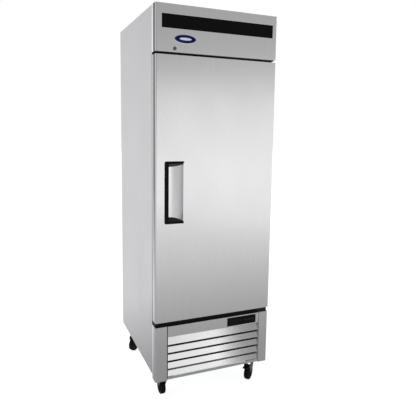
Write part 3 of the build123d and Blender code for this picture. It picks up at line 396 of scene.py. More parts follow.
def makeHandle():
    low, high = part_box("handle_bezel")
    front = low[1]
    inner = low[0] + handle["gripWidth"]
    bm = bmesh.new()
    outline = [(high[0], high[2]), (low[0], high[2]), (low[0], low[2]), (high[0], low[2]),
               (high[0], low[2] + handle["bottomBar"]), (inner, low[2] + handle["bottomBar"]),
               (inner, high[2] - handle["topBarLeft"]), (high[0], high[2] - handle["topBarRight"])]
    addPlate(bm, [(x, front, z) for x, z in outline], (0.0, handle["flange"], 0.0))
    corners = [edge for edge in bm.edges
               if abs(edge.verts[0].co.x - low[0]) < 1e-6 and abs(edge.verts[1].co.x - low[0]) < 1e-6
               and abs(edge.verts[0].co.z - edge.verts[1].co.z) < 1e-6]
    roundEdges(bm, corners, handle["cornerRound"], 8, False)
    rims = [edge for edge in bm.edges if all(abs(vert.co.y - front) < 1e-6 for vert in edge.verts)]
    roundEdges(bm, rims, handle["edgeRound"], 3, False)
    gripLow = low[2] + handle["bottomBar"] + handle["gripGap"]
    gripHigh = high[2] - handle["topBarLeft"] - handle["gripGap"]
    addBlock(bm, (low[0] + handle["gripInset"], front + 0.001, gripLow),
             (inner, front + handle["flange"] + handle["gripDepth"], gripHigh), handle["gripRound"], 4)
    addPiece("handle_bezel_rounded", bm, "blackPlastic", "handle_bezel", ("handle_bezel",))


makeHandle()
print("handle made")


# header: ribbed strip, badge and lock
header = {
    "ribs": 9, "ribDepth": 0.0020, "rim": 0.005,
    "badgeRim": 0.0026, "badgeBarWidth": 0.066, "badgeBarHeight": 0.013, "badgeBarDepth": 0.0013,
    "lockRadius": 0.009, "camWidth": 0.011, "camThickness": 0.003,
}


def ovalPlate(centre, halfWide, halfHigh, pull, segments):
    # an upright oval pulled forward to a thickness, and its front face
    bm = bmesh.new()
    bmesh.ops.create_circle(bm, cap_ends=True, segments=segments, radius=1.0,
                            matrix=Matrix.Rotation(pi / 2, 4, "X"))
    bmesh.ops.scale(bm, vec=(halfWide, 1.0, halfHigh), verts=bm.verts)
    bmesh.ops.translate(bm, vec=centre, verts=bm.verts)
    made = bmesh.ops.extrude_face_region(bm, geom=list(bm.faces))
    bmesh.ops.translate(bm, vec=(0.0, -pull, 0.0), verts=pulledVerts(made))
    return bm, next(item for item in made["geom"] if isinstance(item, bmesh.types.BMFace))


def makeHeader():
    low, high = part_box("header_strip")
    rim = header["rim"]
    bm = bmesh.new()
    pitch = (high[2] - low[2] - 2 * rim) / header["ribs"]
    samples = 8 * header["ribs"]
    wave = []
    for step in range(samples + 1):
        height = low[2] + rim + step * pitch / 8
        wave.append((low[1] + header["ribDepth"] * (0.5 + 0.5 * cos(2 * pi * step / 8)), height))
    outline = [(high[1], low[2] + rim)] + wave + [(high[1], high[2] - rim)]
    addPlate(bm, [(low[0] + rim, y, z) for y, z in outline], (high[0] - low[0] - 2 * rim, 0.0, 0.0))
    addFrame(bm, low, high, rim, 0.0008)
    addPiece("header_strip_ribbed", bm, "blackPlastic", "header_strip", ("header_strip",), crease=60.0)

    low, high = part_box("badge_plate")
    middle = Vector(((low[0] + high[0]) / 2, high[1], (low[2] + high[2]) / 2))
    half = Vector((high[0] - low[0], 0.0, high[2] - low[2])) / 2
    for name, look, shrink, rise in (("badge_rim", "polished", 0.0, 0.0010),
                                     ("badge_field", "blueEnamel", header["badgeRim"], 0.0018)):
        bm, face = ovalPlate(middle, half.x - shrink, half.z - shrink, rise, 72)
        for width, lift in ((0.0012, 0.0006), (0.006, 0.0006), (0.010, 0.0003)):
            bmesh.ops.inset_region(bm, faces=[face], thickness=width, depth=0.0, use_even_offset=True)
            bmesh.ops.translate(bm, vec=(0.0, -lift if name == "badge_field" else -lift / 4, 0.0),
                                verts=list(face.verts))
        addPiece(name, bm, look, "badge_plate", ("badge_plate",), crease=50.0)
    bm, _ = ovalPlate((middle.x, low[1] + 0.0002, middle.z), header["badgeBarWidth"] / 2,
                      header["badgeBarHeight"] / 2, header["badgeBarDepth"], 48)
    addPiece("badge_bar", bm, "whiteEnamel", "badge_plate")

    low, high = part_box("lock_cylinder")
    x, _, z = joints["lock_turn"]["pos_m"]
    radius = header["lockRadius"]
    camBack = high[1]
    camFront = camBack - header["camThickness"]
    bm = bmesh.new()
    length = camFront - low[1]
    addTurned(bm, [(0.0, -length), (radius, -length), (radius, -0.0008), (radius - 0.0008, 0.0),
                   (radius - 0.0020, 0.0), (radius - 0.0026, -0.0007), (0.0052, -0.0007), (0.0048, -0.0002),
                   (0.0, -0.0002)], (x, low[1], z), forward, 48)
    half = header["camWidth"] / 2
    addBlock(bm, (x - half, camFront, z - half), (high[0], camBack, z + half), 0.0009)
    addRod(bm, (x, camBack - 0.001, z), (x, camBack + 0.002, z), 0.005, 6)
    addPiece("lock_barrel", bm, "darkZinc", "lock_cylinder", ("lock_cylinder",))
    bm = bmesh.new()
    addBlock(bm, (x - 0.0009, low[1] - 0.0001, z - 0.0038),
             (x + 0.0009, low[1] + 0.0008, z + 0.0038), 0.0003)
    addPiece("lock_keyway", bm, "blackPlastic", "lock_cylinder")


makeHeader()
print("header made")


# louvres: folded slats, each leaning back from a rounded lower lip
louvre = {"slats": 5, "sheet": 0.0012, "slope": 0.36, "lip": 0.008, "gap": 0.015, "fold": 0.0022,
          "rise": 0.001, "endGap": 0.001}


def makeLouvres():
    low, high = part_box("louvre_slats")
    sheet, front, endGap = louvre["sheet"], low[1], louvre["endGap"]
    slatLow, slatHigh = low[2] - endGap, high[2] + endGap
    pitch = (slatHigh - slatLow) / louvre["slats"]
    bm = bmesh.new()
    for slat in range(louvre["slats"]):
        bottom = slatLow + slat * pitch + (louvre["rise"] if slat == 0 else 0.0)
        top = slatLow + (slat + 1) * pitch - (endGap if slat == louvre["slats"] - 1 else louvre["gap"])
        lean = louvre["slope"] * (top - bottom)
        lip = front + louvre["lip"]
        outline = [(front, bottom), (lip, bottom), (lip, bottom + sheet), (front + sheet, bottom + sheet),
                   (front + lean + sheet, top), (front + lean, top)]
        part = bmesh.new()
        addPlate(part, [(low[0], y, z) for y, z in outline], (high[0] - low[0], 0.0, 0.0))
        for corner, radius in (((front, bottom), louvre["fold"]),
                               ((front + sheet, bottom + sheet), louvre["fold"] - sheet)):
            folds = [edge for edge in part.edges
                     if all(abs(vert.co.y - corner[0]) < 1e-6 and abs(vert.co.z - corner[1]) < 1e-6
                            for vert in edge.verts)]
            roundEdges(part, folds, radius, 5, False)
        joinPart(bm, part)
    addPiece("louvre_slats_folded", bm, "slatSteel", "louvre_slats", ("louvre_slats",))


makeLouvres()
print("louvres made")


# controller: bezel, smoked window and three keys with raised marks
control = {"bodySide": 0.006, "bodyEnd": 0.005, "bezelRound": 0.0016,
           "windowMargin": 0.014, "windowWidth": 0.078, "windowHeight": 0.030, "windowWall": 0.0012,
           "keyRound": 0.0012}


def makeController():
    low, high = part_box("controller")
    front = low[1]
    middle = (low[2] + high[2]) / 2
    bm = bmesh.new()
    addBlock(bm, (low[0], front, low[2]), (high[0], front + 0.0016, high[2]), 0.0006)
    addBlock(bm, (low[0] + control["bodySide"], front + 0.001, low[2] + control["bodyEnd"]),
             (high[0] - control["bodySide"], high[1], high[2] - control["bodyEnd"]), control["bezelRound"])
    left = low[0] + control["windowMargin"]
    wall = control["windowWall"]
    windowTop, windowLow = middle + control["windowHeight"] / 2, middle - control["windowHeight"] / 2
    right = left + control["windowWidth"]
    addFrame(bm, (left, front - 0.0004, windowLow), (right, front + 0.0004, windowTop), wall, 0.0002)
    addPiece("controller_housing", bm, "blackPlastic", "controller", ("controller",))
    bm = bmesh.new()
    addBlock(bm, (left + wall, front - 0.0002, windowLow + wall),
             (right - wall, front + 0.0003, windowTop - wall), 0.0001)
    addPiece("controller_window", bm, "smoked", "controller")
    for name in ("set_key", "up_key", "down_key"):
        keyLow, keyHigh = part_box(name)
        bm = bmesh.new()
        addBlock(bm, keyLow, keyHigh, control["keyRound"], 3)
        x, z = (keyLow[0] + keyHigh[0]) / 2, (keyLow[2] + keyHigh[2]) / 2
        face = keyLow[1] - 0.0003
        if name == "set_key":
            addBlock(bm, (x - 0.0022, face, z - 0.0006), (x + 0.0022, face + 0.0006, z + 0.0006), 0.0002)
        else:
            point = 0.0018 if name == "up_key" else -0.0018
            addPlate(bm, [(x - 0.0022, face, z - point / 2), (x + 0.0022, face, z - point / 2),
                          (x, face, z + point)], (0.0, 0.0006, 0.0))
        addPiece(name + "_cap", bm, "keyRubber", name, (name,))


makeController()
print("controller made")


# casters, each built facing its own way: x across the wheel, y along its trail
caster = {
    "plateHalf": 0.050, "plateThick": 0.004, "plateCorner": 0.009, "raceRadius": 0.026, "raceHeight": 0.011,
    "legThick": 0.003, "legGap": 0.002, "wheelWidth": 0.028, "crownRadius": 0.030, "crownThick": 0.004,
    "treadDepth": 0.012, "shoulder": 0.0055, "boss": 0.011, "pedalY": 0.046, "pedalRise": 0.006,
    "pedalReach": 0.044, "running": 0.0003, "headroom": 0.041, "boltReach": 0.038,
}


def makeCaster(place):
    forkNode, wheelNode = place + "_caster_fork", place + "_caster_wheel"
    swivel = Vector(joints[place + "_swivel"]["pos_m"])
    axle = Vector(joints[place + "_roll"]["pos_m"])
    across = joints[place + "_roll"]["axis"]
    facing = Matrix.Rotation(atan2(across[1], across[0]), 4, "Z")
    turned = Matrix.Translation((swivel.x, swivel.y, 0.0)) @ facing
    trail = (turned.inverted() @ axle).y
    radius = axle.z
    bodyBottom = 2 * radius + caster["headroom"]
    raceBottom = bodyBottom - caster["plateThick"] - caster["raceHeight"]
    forkTop = raceBottom - caster["running"]
    inner = caster["wheelWidth"] / 2 + caster["legGap"]
    outer = inner + caster["legThick"]
    pedalZ = 2 * radius + caster["pedalRise"]
    pedalY = caster["pedalY"]
    boss = caster["boss"]

    def addCasterPiece(name, bm, look, node, replaced=()):
        bmesh.ops.transform(bm, matrix=turned, verts=bm.verts)
        addPiece(name, bm, look, node, replaced)

    bm = bmesh.new()
    crown = caster["crownRadius"]
    crownBottom = forkTop - caster["crownThick"]
    addTurned(bm, [(0.0065, crownBottom), (crown - 0.001, crownBottom), (crown, crownBottom + 0.001),
                   (crown, forkTop - 0.0015), (crown - 0.0015, forkTop), (crown - 0.006, forkTop),
                   (crown - 0.0075, forkTop - 0.001), (0.0065, forkTop - 0.001), (0.0065, crownBottom)],
              (0.0, 0.0, 0.0), upward)
    for side in (-1, 1):
        leg = [(-0.022, forkTop), (0.026, forkTop), (pedalY + 0.007, pedalZ + 0.006),
               (pedalY + 0.007, pedalZ - 0.008), (trail + boss, radius),
               (trail + boss * 0.4, radius - boss), (trail - boss * 0.4, radius - boss),
               (trail - boss, radius)]
        addPlate(bm, [(side * inner, y, z) for y, z in leg], (side * caster["legThick"], 0.0, 0.0), 0.005)
        addRod(bm, (side * outer, trail, radius), (side * (outer + 0.0034), trail, radius), 0.0066, 6)
        addTurned(bm, [(0.0, 0.0), (0.0085, 0.0), (0.0085, 0.0007), (0.0, 0.0007)],
                  (side * outer, trail, radius), (side, 0.0, 0.0), 24)
        if side > 0:
            addRod(bm, (-outer, trail, radius), (outer, trail, radius), 0.004, 20)
    # the folded web that joins the two legs in front of the wheel
    addBlock(bm, (-outer, -0.0225, forkTop - 0.018), (outer, -0.0205, forkTop), 0.0006)
    addCasterPiece(forkNode + "_pressed", bm, "darkZinc", forkNode, (forkNode,))

    half = caster["wheelWidth"] / 2
    rimRadius = radius - caster["treadDepth"]
    shoulder = caster["shoulder"]
    tyre = [(rimRadius, -half + 0.002), (rimRadius + 0.002, -half), (radius - shoulder, -half)]
    tyre += quarterArc(tyre[-1], shoulder, shoulder, 6)
    tyre += [(reach, -along) for reach, along in reversed(tyre)] + [(rimRadius, -half + 0.002)]
    bm = bmesh.new()
    addTurned(bm, tyre, (0.0, trail, radius), sideways, 64)
    addCasterPiece(wheelNode + "_tyre", bm, "tread", wheelNode, (wheelNode,))
    hub = [(0.0042, -half - 0.0015), (boss - 0.001, -half - 0.0015), (boss, -half - 0.0005),
           (boss + 0.001, -half + 0.005), (rimRadius - 0.004, -half + 0.005),
           (rimRadius - 0.002, -half + 0.0015), (rimRadius, -half + 0.0015)]
    hub += [(reach, -along) for reach, along in reversed(hub)] + [(0.0042, -half - 0.0015)]
    bm = bmesh.new()
    addTurned(bm, hub, (0.0, trail, radius), sideways, 48)
    for spoke in range(6):
        turn = Matrix.Translation((0.0, trail, radius)) @ Matrix.Rotation(spoke * pi / 3, 4, "X")
        part = len(bm.verts)
        addBlock(bm, (-half + 0.001, -0.0012, boss - 0.001),
                 (half - 0.001, 0.0012, rimRadius - 0.002), 0.0005)
        bm.verts.ensure_lookup_table()
        bmesh.ops.transform(bm, matrix=turn, verts=bm.verts[part:])
    addCasterPiece(wheelNode + "_hub", bm, "blackPaint", wheelNode)

    if place.startswith("front"):
        pedalNode = place + "_brake_pedal"
        reach = caster["pedalReach"]
        bm = bmesh.new()
        addRod(bm, (-inner + 0.0004, pedalY, pedalZ), (inner - 0.0004, pedalY, pedalZ), 0.005, 24)
        addRod(bm, (-outer, pedalY, pedalZ), (outer, pedalY, pedalZ), 0.003, 20)
        width = inner - 0.001
        addPlate(bm, [(-width, pedalY, pedalZ - 0.002), (width, pedalY, pedalZ - 0.002),
                      (width, pedalY + reach, pedalZ - 0.002), (-width, pedalY + reach, pedalZ - 0.002)],
                 (0.0, 0.0, 0.0035), 0.006)
        for ridge in range(5):
            y = pedalY + reach - 0.006 - ridge * 0.005
            addBlock(bm, (-width + 0.004, y, pedalZ + 0.001),
                     (width - 0.004, y + 0.002, pedalZ + 0.0026), 0.0006)
        addCasterPiece(pedalNode + "_tread", bm, "blackPaint", pedalNode, (pedalNode,))
    return swivel, bodyBottom, raceBottom


plates = bmesh.new()
for place in ("front_left", "front_right", "rear_left", "rear_right"):
    swivel, bodyBottom, raceBottom = makeCaster(place)
    x, y = swivel.x, swivel.y
    half, thick = caster["plateHalf"], caster["plateThick"]
    plateBottom = bodyBottom - thick
    addPlate(plates, [(x + cornerX * half, y + cornerY * half, plateBottom)
                      for cornerX, cornerY in ((-1, -1), (1, -1), (1, 1), (-1, 1))],
             (0.0, 0.0, thick), caster["plateCorner"])
    race = caster["raceRadius"]
    addTurned(plates, [(0.0, plateBottom), (race + 0.003, plateBottom),
                       (race + 0.003, plateBottom - 0.002), (race, plateBottom - 0.004),
                       (race, raceBottom + 0.0015), (race - 0.0015, raceBottom), (0.006, raceBottom),
                       (0.006, raceBottom - 0.0045), (0.011, raceBottom - 0.0048),
                       (0.011, raceBottom - 0.0075), (0.008, raceBottom - 0.0103),
                       (0.0, raceBottom - 0.0103)],
              (x, y, 0.0), upward)
    for boltX in (x - caster["boltReach"], x + caster["boltReach"]):
        for boltY in (y - caster["boltReach"], y + caster["boltReach"]):
            addRod(plates, (boltX, boltY, plateBottom), (boltX, boltY, plateBottom - 0.005), 0.0075, 6)
addPiece("caster_plates_bolted", plates, "darkZinc", "caster_plates", ("caster_plates",))
print("casters made")


# shelves: round welded wires with a rounded frame
shelf = {"wires": 22, "bars": 4, "frameRadius": 0.0035, "wireRadius": 0.0021, "barRadius": 0.003}


def makeShelf(node):
    low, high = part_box(node)
    bm = bmesh.new()
    radius, wire = shelf["frameRadius"], shelf["wireRadius"]
    z = low[2] + radius
    corners = [(low[0] + radius, low[1] + radius), (high[0] - radius, low[1] + radius),
               (high[0] - radius, high[1] - radius), (low[0] + radius, high[1] - radius)]
    for first, last in zip(corners, corners[1:] + corners[:1]):
        addRod(bm, (*first, z), (*last, z), radius, 14)
        bmesh.ops.create_uvsphere(bm, u_segments=14, v_segments=8, radius=radius,
                                  matrix=Matrix.Translation((*first, z)))
    for bar in range(1, shelf["bars"] + 1):
        y = low[1] + bar * (high[1] - low[1]) / (shelf["bars"] + 1)
        addRod(bm, (low[0] + radius, y, z), (high[0] - radius, y, z), shelf["barRadius"], 12)
    top = high[2] - wire
    for step in range(1, shelf["wires"] + 1):
        x = low[0] + step * (high[0] - low[0]) / (shelf["wires"] + 1)
        addRod(bm, (x, low[1] + 0.002, top), (x, high[1] - 0.001, top), wire, 10)
        addRod(bm, (x, low[1] + 0.002, top), (x, low[1] + 0.002, z - 0.001), wire, 10)
        bmesh.ops.create_uvsphere(bm, u_segments=10, v_segments=6, radius=wire,
                                  matrix=Matrix.Translation((x, low[1] + 0.002, top)))
    addPiece(node + "_wires", bm, "whiteCoat", node, (node,), crease=50.0)


for node in ("wire_shelf_lower", "wire_shelf_middle", "wire_shelf_upper"):
    makeShelf(node)
print("shelves made")


# door gasket: a rounded ring round the door, its side walls pinched into a fold
seal = {"width": 0.022, "fold": 0.0026, "pinch": 0.0016, "edgeRound": 0.0009}


def makeGasket():
    low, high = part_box("door_gasket")
    bm = bmesh.new()
    back = bm.faces.new([bm.verts.new((x, high[1], z)) for x, z in
                         ((low[0], low[2]), (low[0], high[2]), (high[0], high[2]), (high[0], low[2]))])
    back.normal_update()
    bmesh.ops.inset_region(bm, faces=[back], thickness=seal["width"], depth=0.0, use_boundary=True,
                           use_even_offset=True)
    bmesh.ops.delete(bm, geom=[back], context="FACES")
    made = bmesh.ops.extrude_face_region(bm, geom=list(bm.faces))
    bmesh.ops.translate(bm, vec=(0.0, low[1] - high[1], 0.0), verts=pulledVerts(made))
    bmesh.ops.recalc_face_normals(bm, faces=bm.faces)
    rims = [edge for edge in bm.edges
            if edge.calc_face_angle(0.0) > 1.0 and abs(edge.verts[0].co.y - edge.verts[1].co.y) < 1e-6]
    roundEdges(bm, rims, seal["edgeRound"], 2, False)
    walls = [face for face in bm.faces if abs(face.normal.y) < 0.01 and face.calc_area() > 0.002]
    bmesh.ops.inset_region(bm, faces=walls, thickness=seal["fold"], depth=-seal["pinch"],
                           use_even_offset=True)
    addPiece("door_gasket_bellows", bm, "sealRubber", "door_gasket", ("door_gasket",), crease=50.0)


makeGasket()
print("gasket made")


# fans: a domed hub with cambered, twisted blades
fanBlades = 5


def makeFan(node, hubRadius):
    low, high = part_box(node)
    centre = Vector(joints[node + "_spin"]["pos_m"])
    tip = min(high[0] - low[0], high[2] - low[2]) / 2
    halfHub = (high[1] - low[1]) / 2 * 0.86
    bm = bmesh.new()
    addTurned(bm, [(0.0041, -halfHub), (hubRadius - 0.002, -halfHub), (hubRadius, -halfHub + 0.002),
                   (hubRadius, halfHub * 0.6), (hubRadius * 0.7, halfHub), (0.0041, halfHub),
                   (0.0041, -halfHub)], centre, forward, 48)
    chord = tip * 0.42
    for blade in range(fanBlades):
        turn = 2 * pi * blade / fanBlades
        part = bmesh.new()
        bmesh.ops.create_grid(part, x_segments=8, y_segments=6, size=0.5)
        for vert in part.verts:
            along, over = vert.co.x + 0.5, vert.co.y
            reach = hubRadius * 0.94 + along * (tip - hubRadius * 0.94) * (1.0 - 0.10 * (2 * over) ** 2)
            width = chord * (0.72 + 0.5 * along) * over
            pitch = radians(34.0 - 14.0 * along)
            camber = 0.10 * chord * (1.0 - 4.0 * over * over)
            tangent = width * cos(pitch)
            vert.co = (reach * cos(turn) - tangent * sin(turn), width * sin(pitch) * 0.8 - camber,
                       reach * sin(turn) + tangent * cos(turn))
        bmesh.ops.solidify(part, geom=list(part.faces), thickness=0.0016)
        bmesh.ops.translate(part, vec=centre, verts=part.verts)
        joinPart(bm, part)
    addPiece(node + "_moulded", bm, "fanPlastic", node, (node,))


makeFan("evaporator_fan", 0.024)
makeFan("condenser_fan", 0.028)
print("fans made")


# coils: stacked fins between end plates, with return bends on both ends
def makeCoil(node, finPitch, rows, columns):
    low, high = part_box(node)
    end, tubeRadius = 0.0015, 0.0048
    bm = bmesh.new()
    length = high[0] - low[0] - 0.012
    count = int(length / finPitch)
    for fin in range(count + 1):
        x = low[0] + 0.006 + fin * length / count
        addBlock(bm, (x - 0.00012, low[1] + 0.002, low[2] + 0.002),
                 (x + 0.00012, high[1] - 0.002, high[2] - 0.002))
    addFrame(bm, low, high, end, 0.0004)
    addPiece(node + "_fins", bm, "fins", node, (node,))
    bm = bmesh.new()
    stepZ = (high[2] - low[2]) / rows
    stepY = (high[1] - low[1]) / columns
    for row in range(rows):
        z = low[2] + (row + 0.5) * stepZ
        for column in range(columns):
            y = low[1] + (column + 0.5) * stepY
            addRod(bm, (low[0] - 0.001, y, z), (high[0] + 0.001, y, z), tubeRadius, 12)
            rising = (row + column) % 2
            x = high[0] + 0.001 if rising else low[0] - 0.001
            if row < rows - 1:
                place = Matrix.Translation((x, y, z)) @ Matrix.Rotation(pi / 2, 4, "Y")
                ring = bmesh.ops.create_circle(bm, cap_ends=False, segments=12, radius=tubeRadius,
                                               matrix=place)
                edges = list({edge for vert in ring["verts"] for edge in vert.link_edges})
                bmesh.ops.spin(bm, geom=ring["verts"] + edges, cent=(x, y, z + stepZ / 2),
                               axis=(0.0, -1.0 if rising else 1.0, 0.0), angle=pi, steps=8)
    addPiece(node + "_tubes", bm, "copper", "refrigerant_pipes")


makeCoil("evaporator_coil", 0.006, 5, 3)
makeCoil("condenser_coil", 0.004, 8, 2)
print("coils made")


# cooling unit: domed compressor on its feet, finned motors, service pieces
machine = {
    "shellRadius": 0.088, "shellDome": 0.062, "seam": 0.0028, "footHeight": 0.022,
    "boxRise": 0.050, "boxHeight": 0.070, "boxHalf": 0.028, "motorRound": 0.006, "motorRibs": 9,
    "cradleSheet": 0.0025,
}


def makeCompressor():
    low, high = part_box("compressor")
    centre = Vector(((low[0] + high[0]) / 2, (low[1] + high[1]) / 2, 0.0))
    radius, dome = machine["shellRadius"], machine["shellDome"]
    base = low[2] + machine["footHeight"]
    seam = base + 0.42 * (high[2] - base)
    spring = high[2] - dome
    outline = [(0.0, base), (radius * 0.80, base)]
    outline += quarterArc(outline[-1], radius * 0.20, 0.018, 6)
    outline += [(radius, seam - 0.003), (radius + machine["seam"], seam - 0.002),
                (radius + machine["seam"], seam + 0.002), (radius, seam + 0.003), (radius, spring)]
    outline += [(radius * cos(step * pi / 20), spring + dome * sin(step * pi / 20))
                for step in range(1, 11)]
    bm = bmesh.new()
    addTurned(bm, outline, centre, upward, 64)
    addBlock(bm, (low[0], low[1], base - 0.004), (low[0] + 0.220, high[1], base + 0.001), 0.0015)
    boxLow, boxHalf = base + machine["boxRise"], machine["boxHalf"]
    boxHigh = boxLow + machine["boxHeight"]
    edge = centre.x - (high[0] - low[0]) / 2 + 0.110 + radius
    addBlock(bm, (edge - 0.012, centre.y - boxHalf, boxLow),
             (high[0], centre.y + boxHalf, boxHigh), 0.006, 3)
    addBlock(bm, (high[0] - 0.003, centre.y - boxHalf + 0.004, boxLow + 0.004),
             (high[0] + 0.0015, centre.y + boxHalf - 0.004, boxHigh - 0.004), 0.0012)
    addPiece("compressor_shell", bm, "blackPaint", "compressor", ("compressor",))
    feet, bolts = bmesh.new(), bmesh.new()
    for x in (low[0] + 0.020, low[0] + 0.200):
        for y in (low[1] + 0.017, high[1] - 0.017):
            addTurned(feet, [(0.0, low[2]), (0.012, low[2]), (0.013, low[2] + 0.002),
                             (0.0105, low[2] + 0.007), (0.0125, low[2] + 0.012), (0.0105, base - 0.005),
                             (0.0, base - 0.005)],
                      (x, y, 0.0), upward, 24)
            addRod(bolts, (x, y, base), (x, y, base + 0.007), 0.0075, 6)
    addPiece("compressor_feet", feet, "sealRubber", "compressor")
    addPiece("compressor_bolts", bolts, "polished", "compressor")


def makeMotor(node, canRadius, canLength):
    low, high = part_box(node)
    x, _, z = joints[node.replace("_motor", "_spin")]["pos_m"]
    back = high[1]
    front = back - canLength
    rounded = machine["motorRound"]
    outline = [(0.0, 0.0), (canRadius - rounded, 0.0)]
    outline += quarterArc(outline[-1], rounded, rounded, 4)
    ribs = machine["motorRibs"]
    for rib in range(ribs):
        at = rounded + (rib + 0.5) * (canLength - 2 * rounded) / ribs
        outline += [(canRadius, at - 0.0008), (canRadius - 0.0012, at - 0.0004),
                    (canRadius - 0.0012, at + 0.0004), (canRadius, at + 0.0008)]
    outline += [(canRadius, canLength - rounded), (canRadius - 0.002, canLength - 0.002),
                (canRadius * 0.6, canLength), (0.0, canLength)]
    bm = bmesh.new()
    addTurned(bm, outline, (x, back, z), forward, 56)
    addRod(bm, (x, front + 0.001, z), (x, low[1], z), 0.004, 20)
    return bm, low, high, x, z, front, back


def makeMotors():
    bm, low, high, x, z, front, back = makeMotor("evaporator_fan_motor", 0.034, 0.042)
    middle = (front + back) / 2
    for bottom, top in ((low[2], z - 0.032), (z + 0.032, high[2])):
        addBlock(bm, (x - 0.006, middle - 0.007, bottom), (x + 0.006, middle + 0.007, top), 0.0008)
    addPiece("evaporator_fan_motor_can", bm, "blackPaint", "evaporator_fan_motor",
             ("evaporator_fan_motor",))
    bm, low, high, x, z, front, back = makeMotor("condenser_fan_motor", 0.042, 0.060)
    for start in (front + 0.020, front + 0.0415):
        addBlock(bm, (x - 0.020, start, low[2]),
                 (x + 0.020, start + machine["cradleSheet"], z - 0.036), 0.0008)
    addBlock(bm, (x - 0.060, front + 0.010, low[2]), (x + 0.060, front + 0.054, low[2] + 0.003), 0.0008)
    for boltX in (x - 0.050, x + 0.050):
        addRod(bm, (boltX, front + 0.032, low[2] + 0.003), (boltX, front + 0.032, low[2] + 0.008), 0.006, 6)
    addPiece("condenser_fan_motor_can", bm, "blackPaint", "condenser_fan_motor",
             ("condenser_fan_motor",))


makeCompressor()
makeMotors()
print("cooling unit made")


# inside: lamp with a frosted lens, hooked shelf clips
inside = {"lensSteps": 8, "tray": 0.010, "clipWidth": 0.016, "clipSheet": 0.0018,
          "clipReach": 0.016, "clipDrop": 0.014}


def makeLamp():
    low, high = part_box("led_lamp")
    depth, height = high[1] - low[1], high[2] - low[2]

    def lampEnd(x, top, across, down):
        bottom = (low[1], top - down)
        outline = [(low[1], top), bottom] + quarterArc(bottom, across, down, inside["lensSteps"])
        return [(x, y, z) for y, z in outline]

    bm = bmesh.new()
    addBlock(bm, (low[0], low[1], high[2] - inside["tray"]), (high[0], high[1], high[2]), 0.0015)
    for side, last in ((low[0], low[0] + 0.006), (high[0] - 0.006, high[0])):
        addPlate(bm, lampEnd(side, high[2] - 0.009, depth, height - 0.009), (last - side, 0.0, 0.0))
    addPiece("led_lamp_housing", bm, "whitePlastic", "led_lamp", ("led_lamp",))
    bm = bmesh.new()
    addPlate(bm, lampEnd(low[0] + 0.005, high[2] - inside["tray"], depth - 0.0015, height - 0.0115),
             (high[0] - low[0] - 0.010, 0.0, 0.0))
    addPiece("led_lamp_lens", bm, "frosted", "led_lamp")


def makeClips():
    low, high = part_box("shelf_clips")
    sheet, reach, drop = inside["clipSheet"], inside["clipReach"], inside["clipDrop"]
    wallX = high[0]
    half = inside["clipWidth"] / 2
    bm = bmesh.new()
    for node in ("wire_shelf_lower", "wire_shelf_middle", "wire_shelf_upper"):
        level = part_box(node)[0][2]
        hook = [(0.0, level - drop), (sheet, level - drop), (sheet, level - sheet * 1.6),
                (reach - 0.002, level - sheet), (reach, level + 0.002), (reach - sheet, level + 0.002),
                (reach - 0.003, level), (0.0, level)]
        for y in (low[1] + half, high[1] - half):
            for side in (-1, 1):
                addPlate(bm, [(side * (wallX - out), y - half, z) for out, z in hook],
                         (0.0, 2 * half, 0.0), 0.0, 0.0003)
    addPiece("shelf_clips_hooked", bm, "polished", "shelf_clips", ("shelf_clips",))


makeLamp()
makeClips()
print("inside made")


# round-head screws on the sheets
screw = {"radius": 0.0042, "height": 0.0019, "backStep": 0.28, "backInset": 0.014, "rowStep": 0.16}


def addScrew(bm, place, facing):
    radius, height = screw["radius"], screw["height"]
    dome = [(0.0, height * 0.62), (radius * 0.28, height * 0.62), (radius * 0.34, height)]
    dome += quarterArc(dome[-1], radius * 0.66, -height, 5)
    addTurned(bm, dome + [(radius, -0.0004), (0.0, -0.0004)], place, facing, 16)


def makeScrews():
    low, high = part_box("back_panel")
    inset = screw["backInset"]
    rows = int((high[2] - low[2]) / screw["backStep"])
    bm = bmesh.new()
    for row in range(rows + 1):
        z = low[2] + inset + row * (high[2] - low[2] - 2 * inset) / rows
        for x in (low[0] + inset, high[0] - inset):
            addScrew(bm, (x, high[1], z), backward)
    for x in (-screw["rowStep"], 0.0, screw["rowStep"]):
        for z in (low[2] + inset, high[2] - inset):
            addScrew(bm, (x, high[1], z), backward)
    addPiece("back_panel_screws", bm, "polished", "back_panel")
    low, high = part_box("upper_hinge_bracket")
    bm = bmesh.new()
    for x in (low[0] + 0.008, low[0] + 0.030):
        addScrew(bm, (x, high[1] - 0.008, high[2] - 0.005), (0.0, 0.0, -1.0))
    low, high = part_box("evaporator_cover")
    for x in (low[0] + 0.015, high[0] - 0.015):
        for z in (low[2] + 0.015, high[2] - 0.015):
            addScrew(bm, (x, low[1], z), forward)
    addPiece("fitting_screws", bm, "polished", "upper_hinge_bracket")
    low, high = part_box("cord_gland")
    x, z = (low[0] + high[0]) / 2, (low[2] + high[2]) / 2
    bm = bmesh.new()
    addTurned(bm, [(0.0046, 0.0), (0.0046, 0.0065), (0.0075, 0.0065), (0.0085, 0.0050), (0.0125, 0.0012),
                   (0.0125, 0.0), (0.0046, 0.0)], (x, high[1], z), backward, 32)
    addPiece("cord_gland_collar", bm, "blackPlastic", "cord_gland")


makeScrews()
print("screws made")


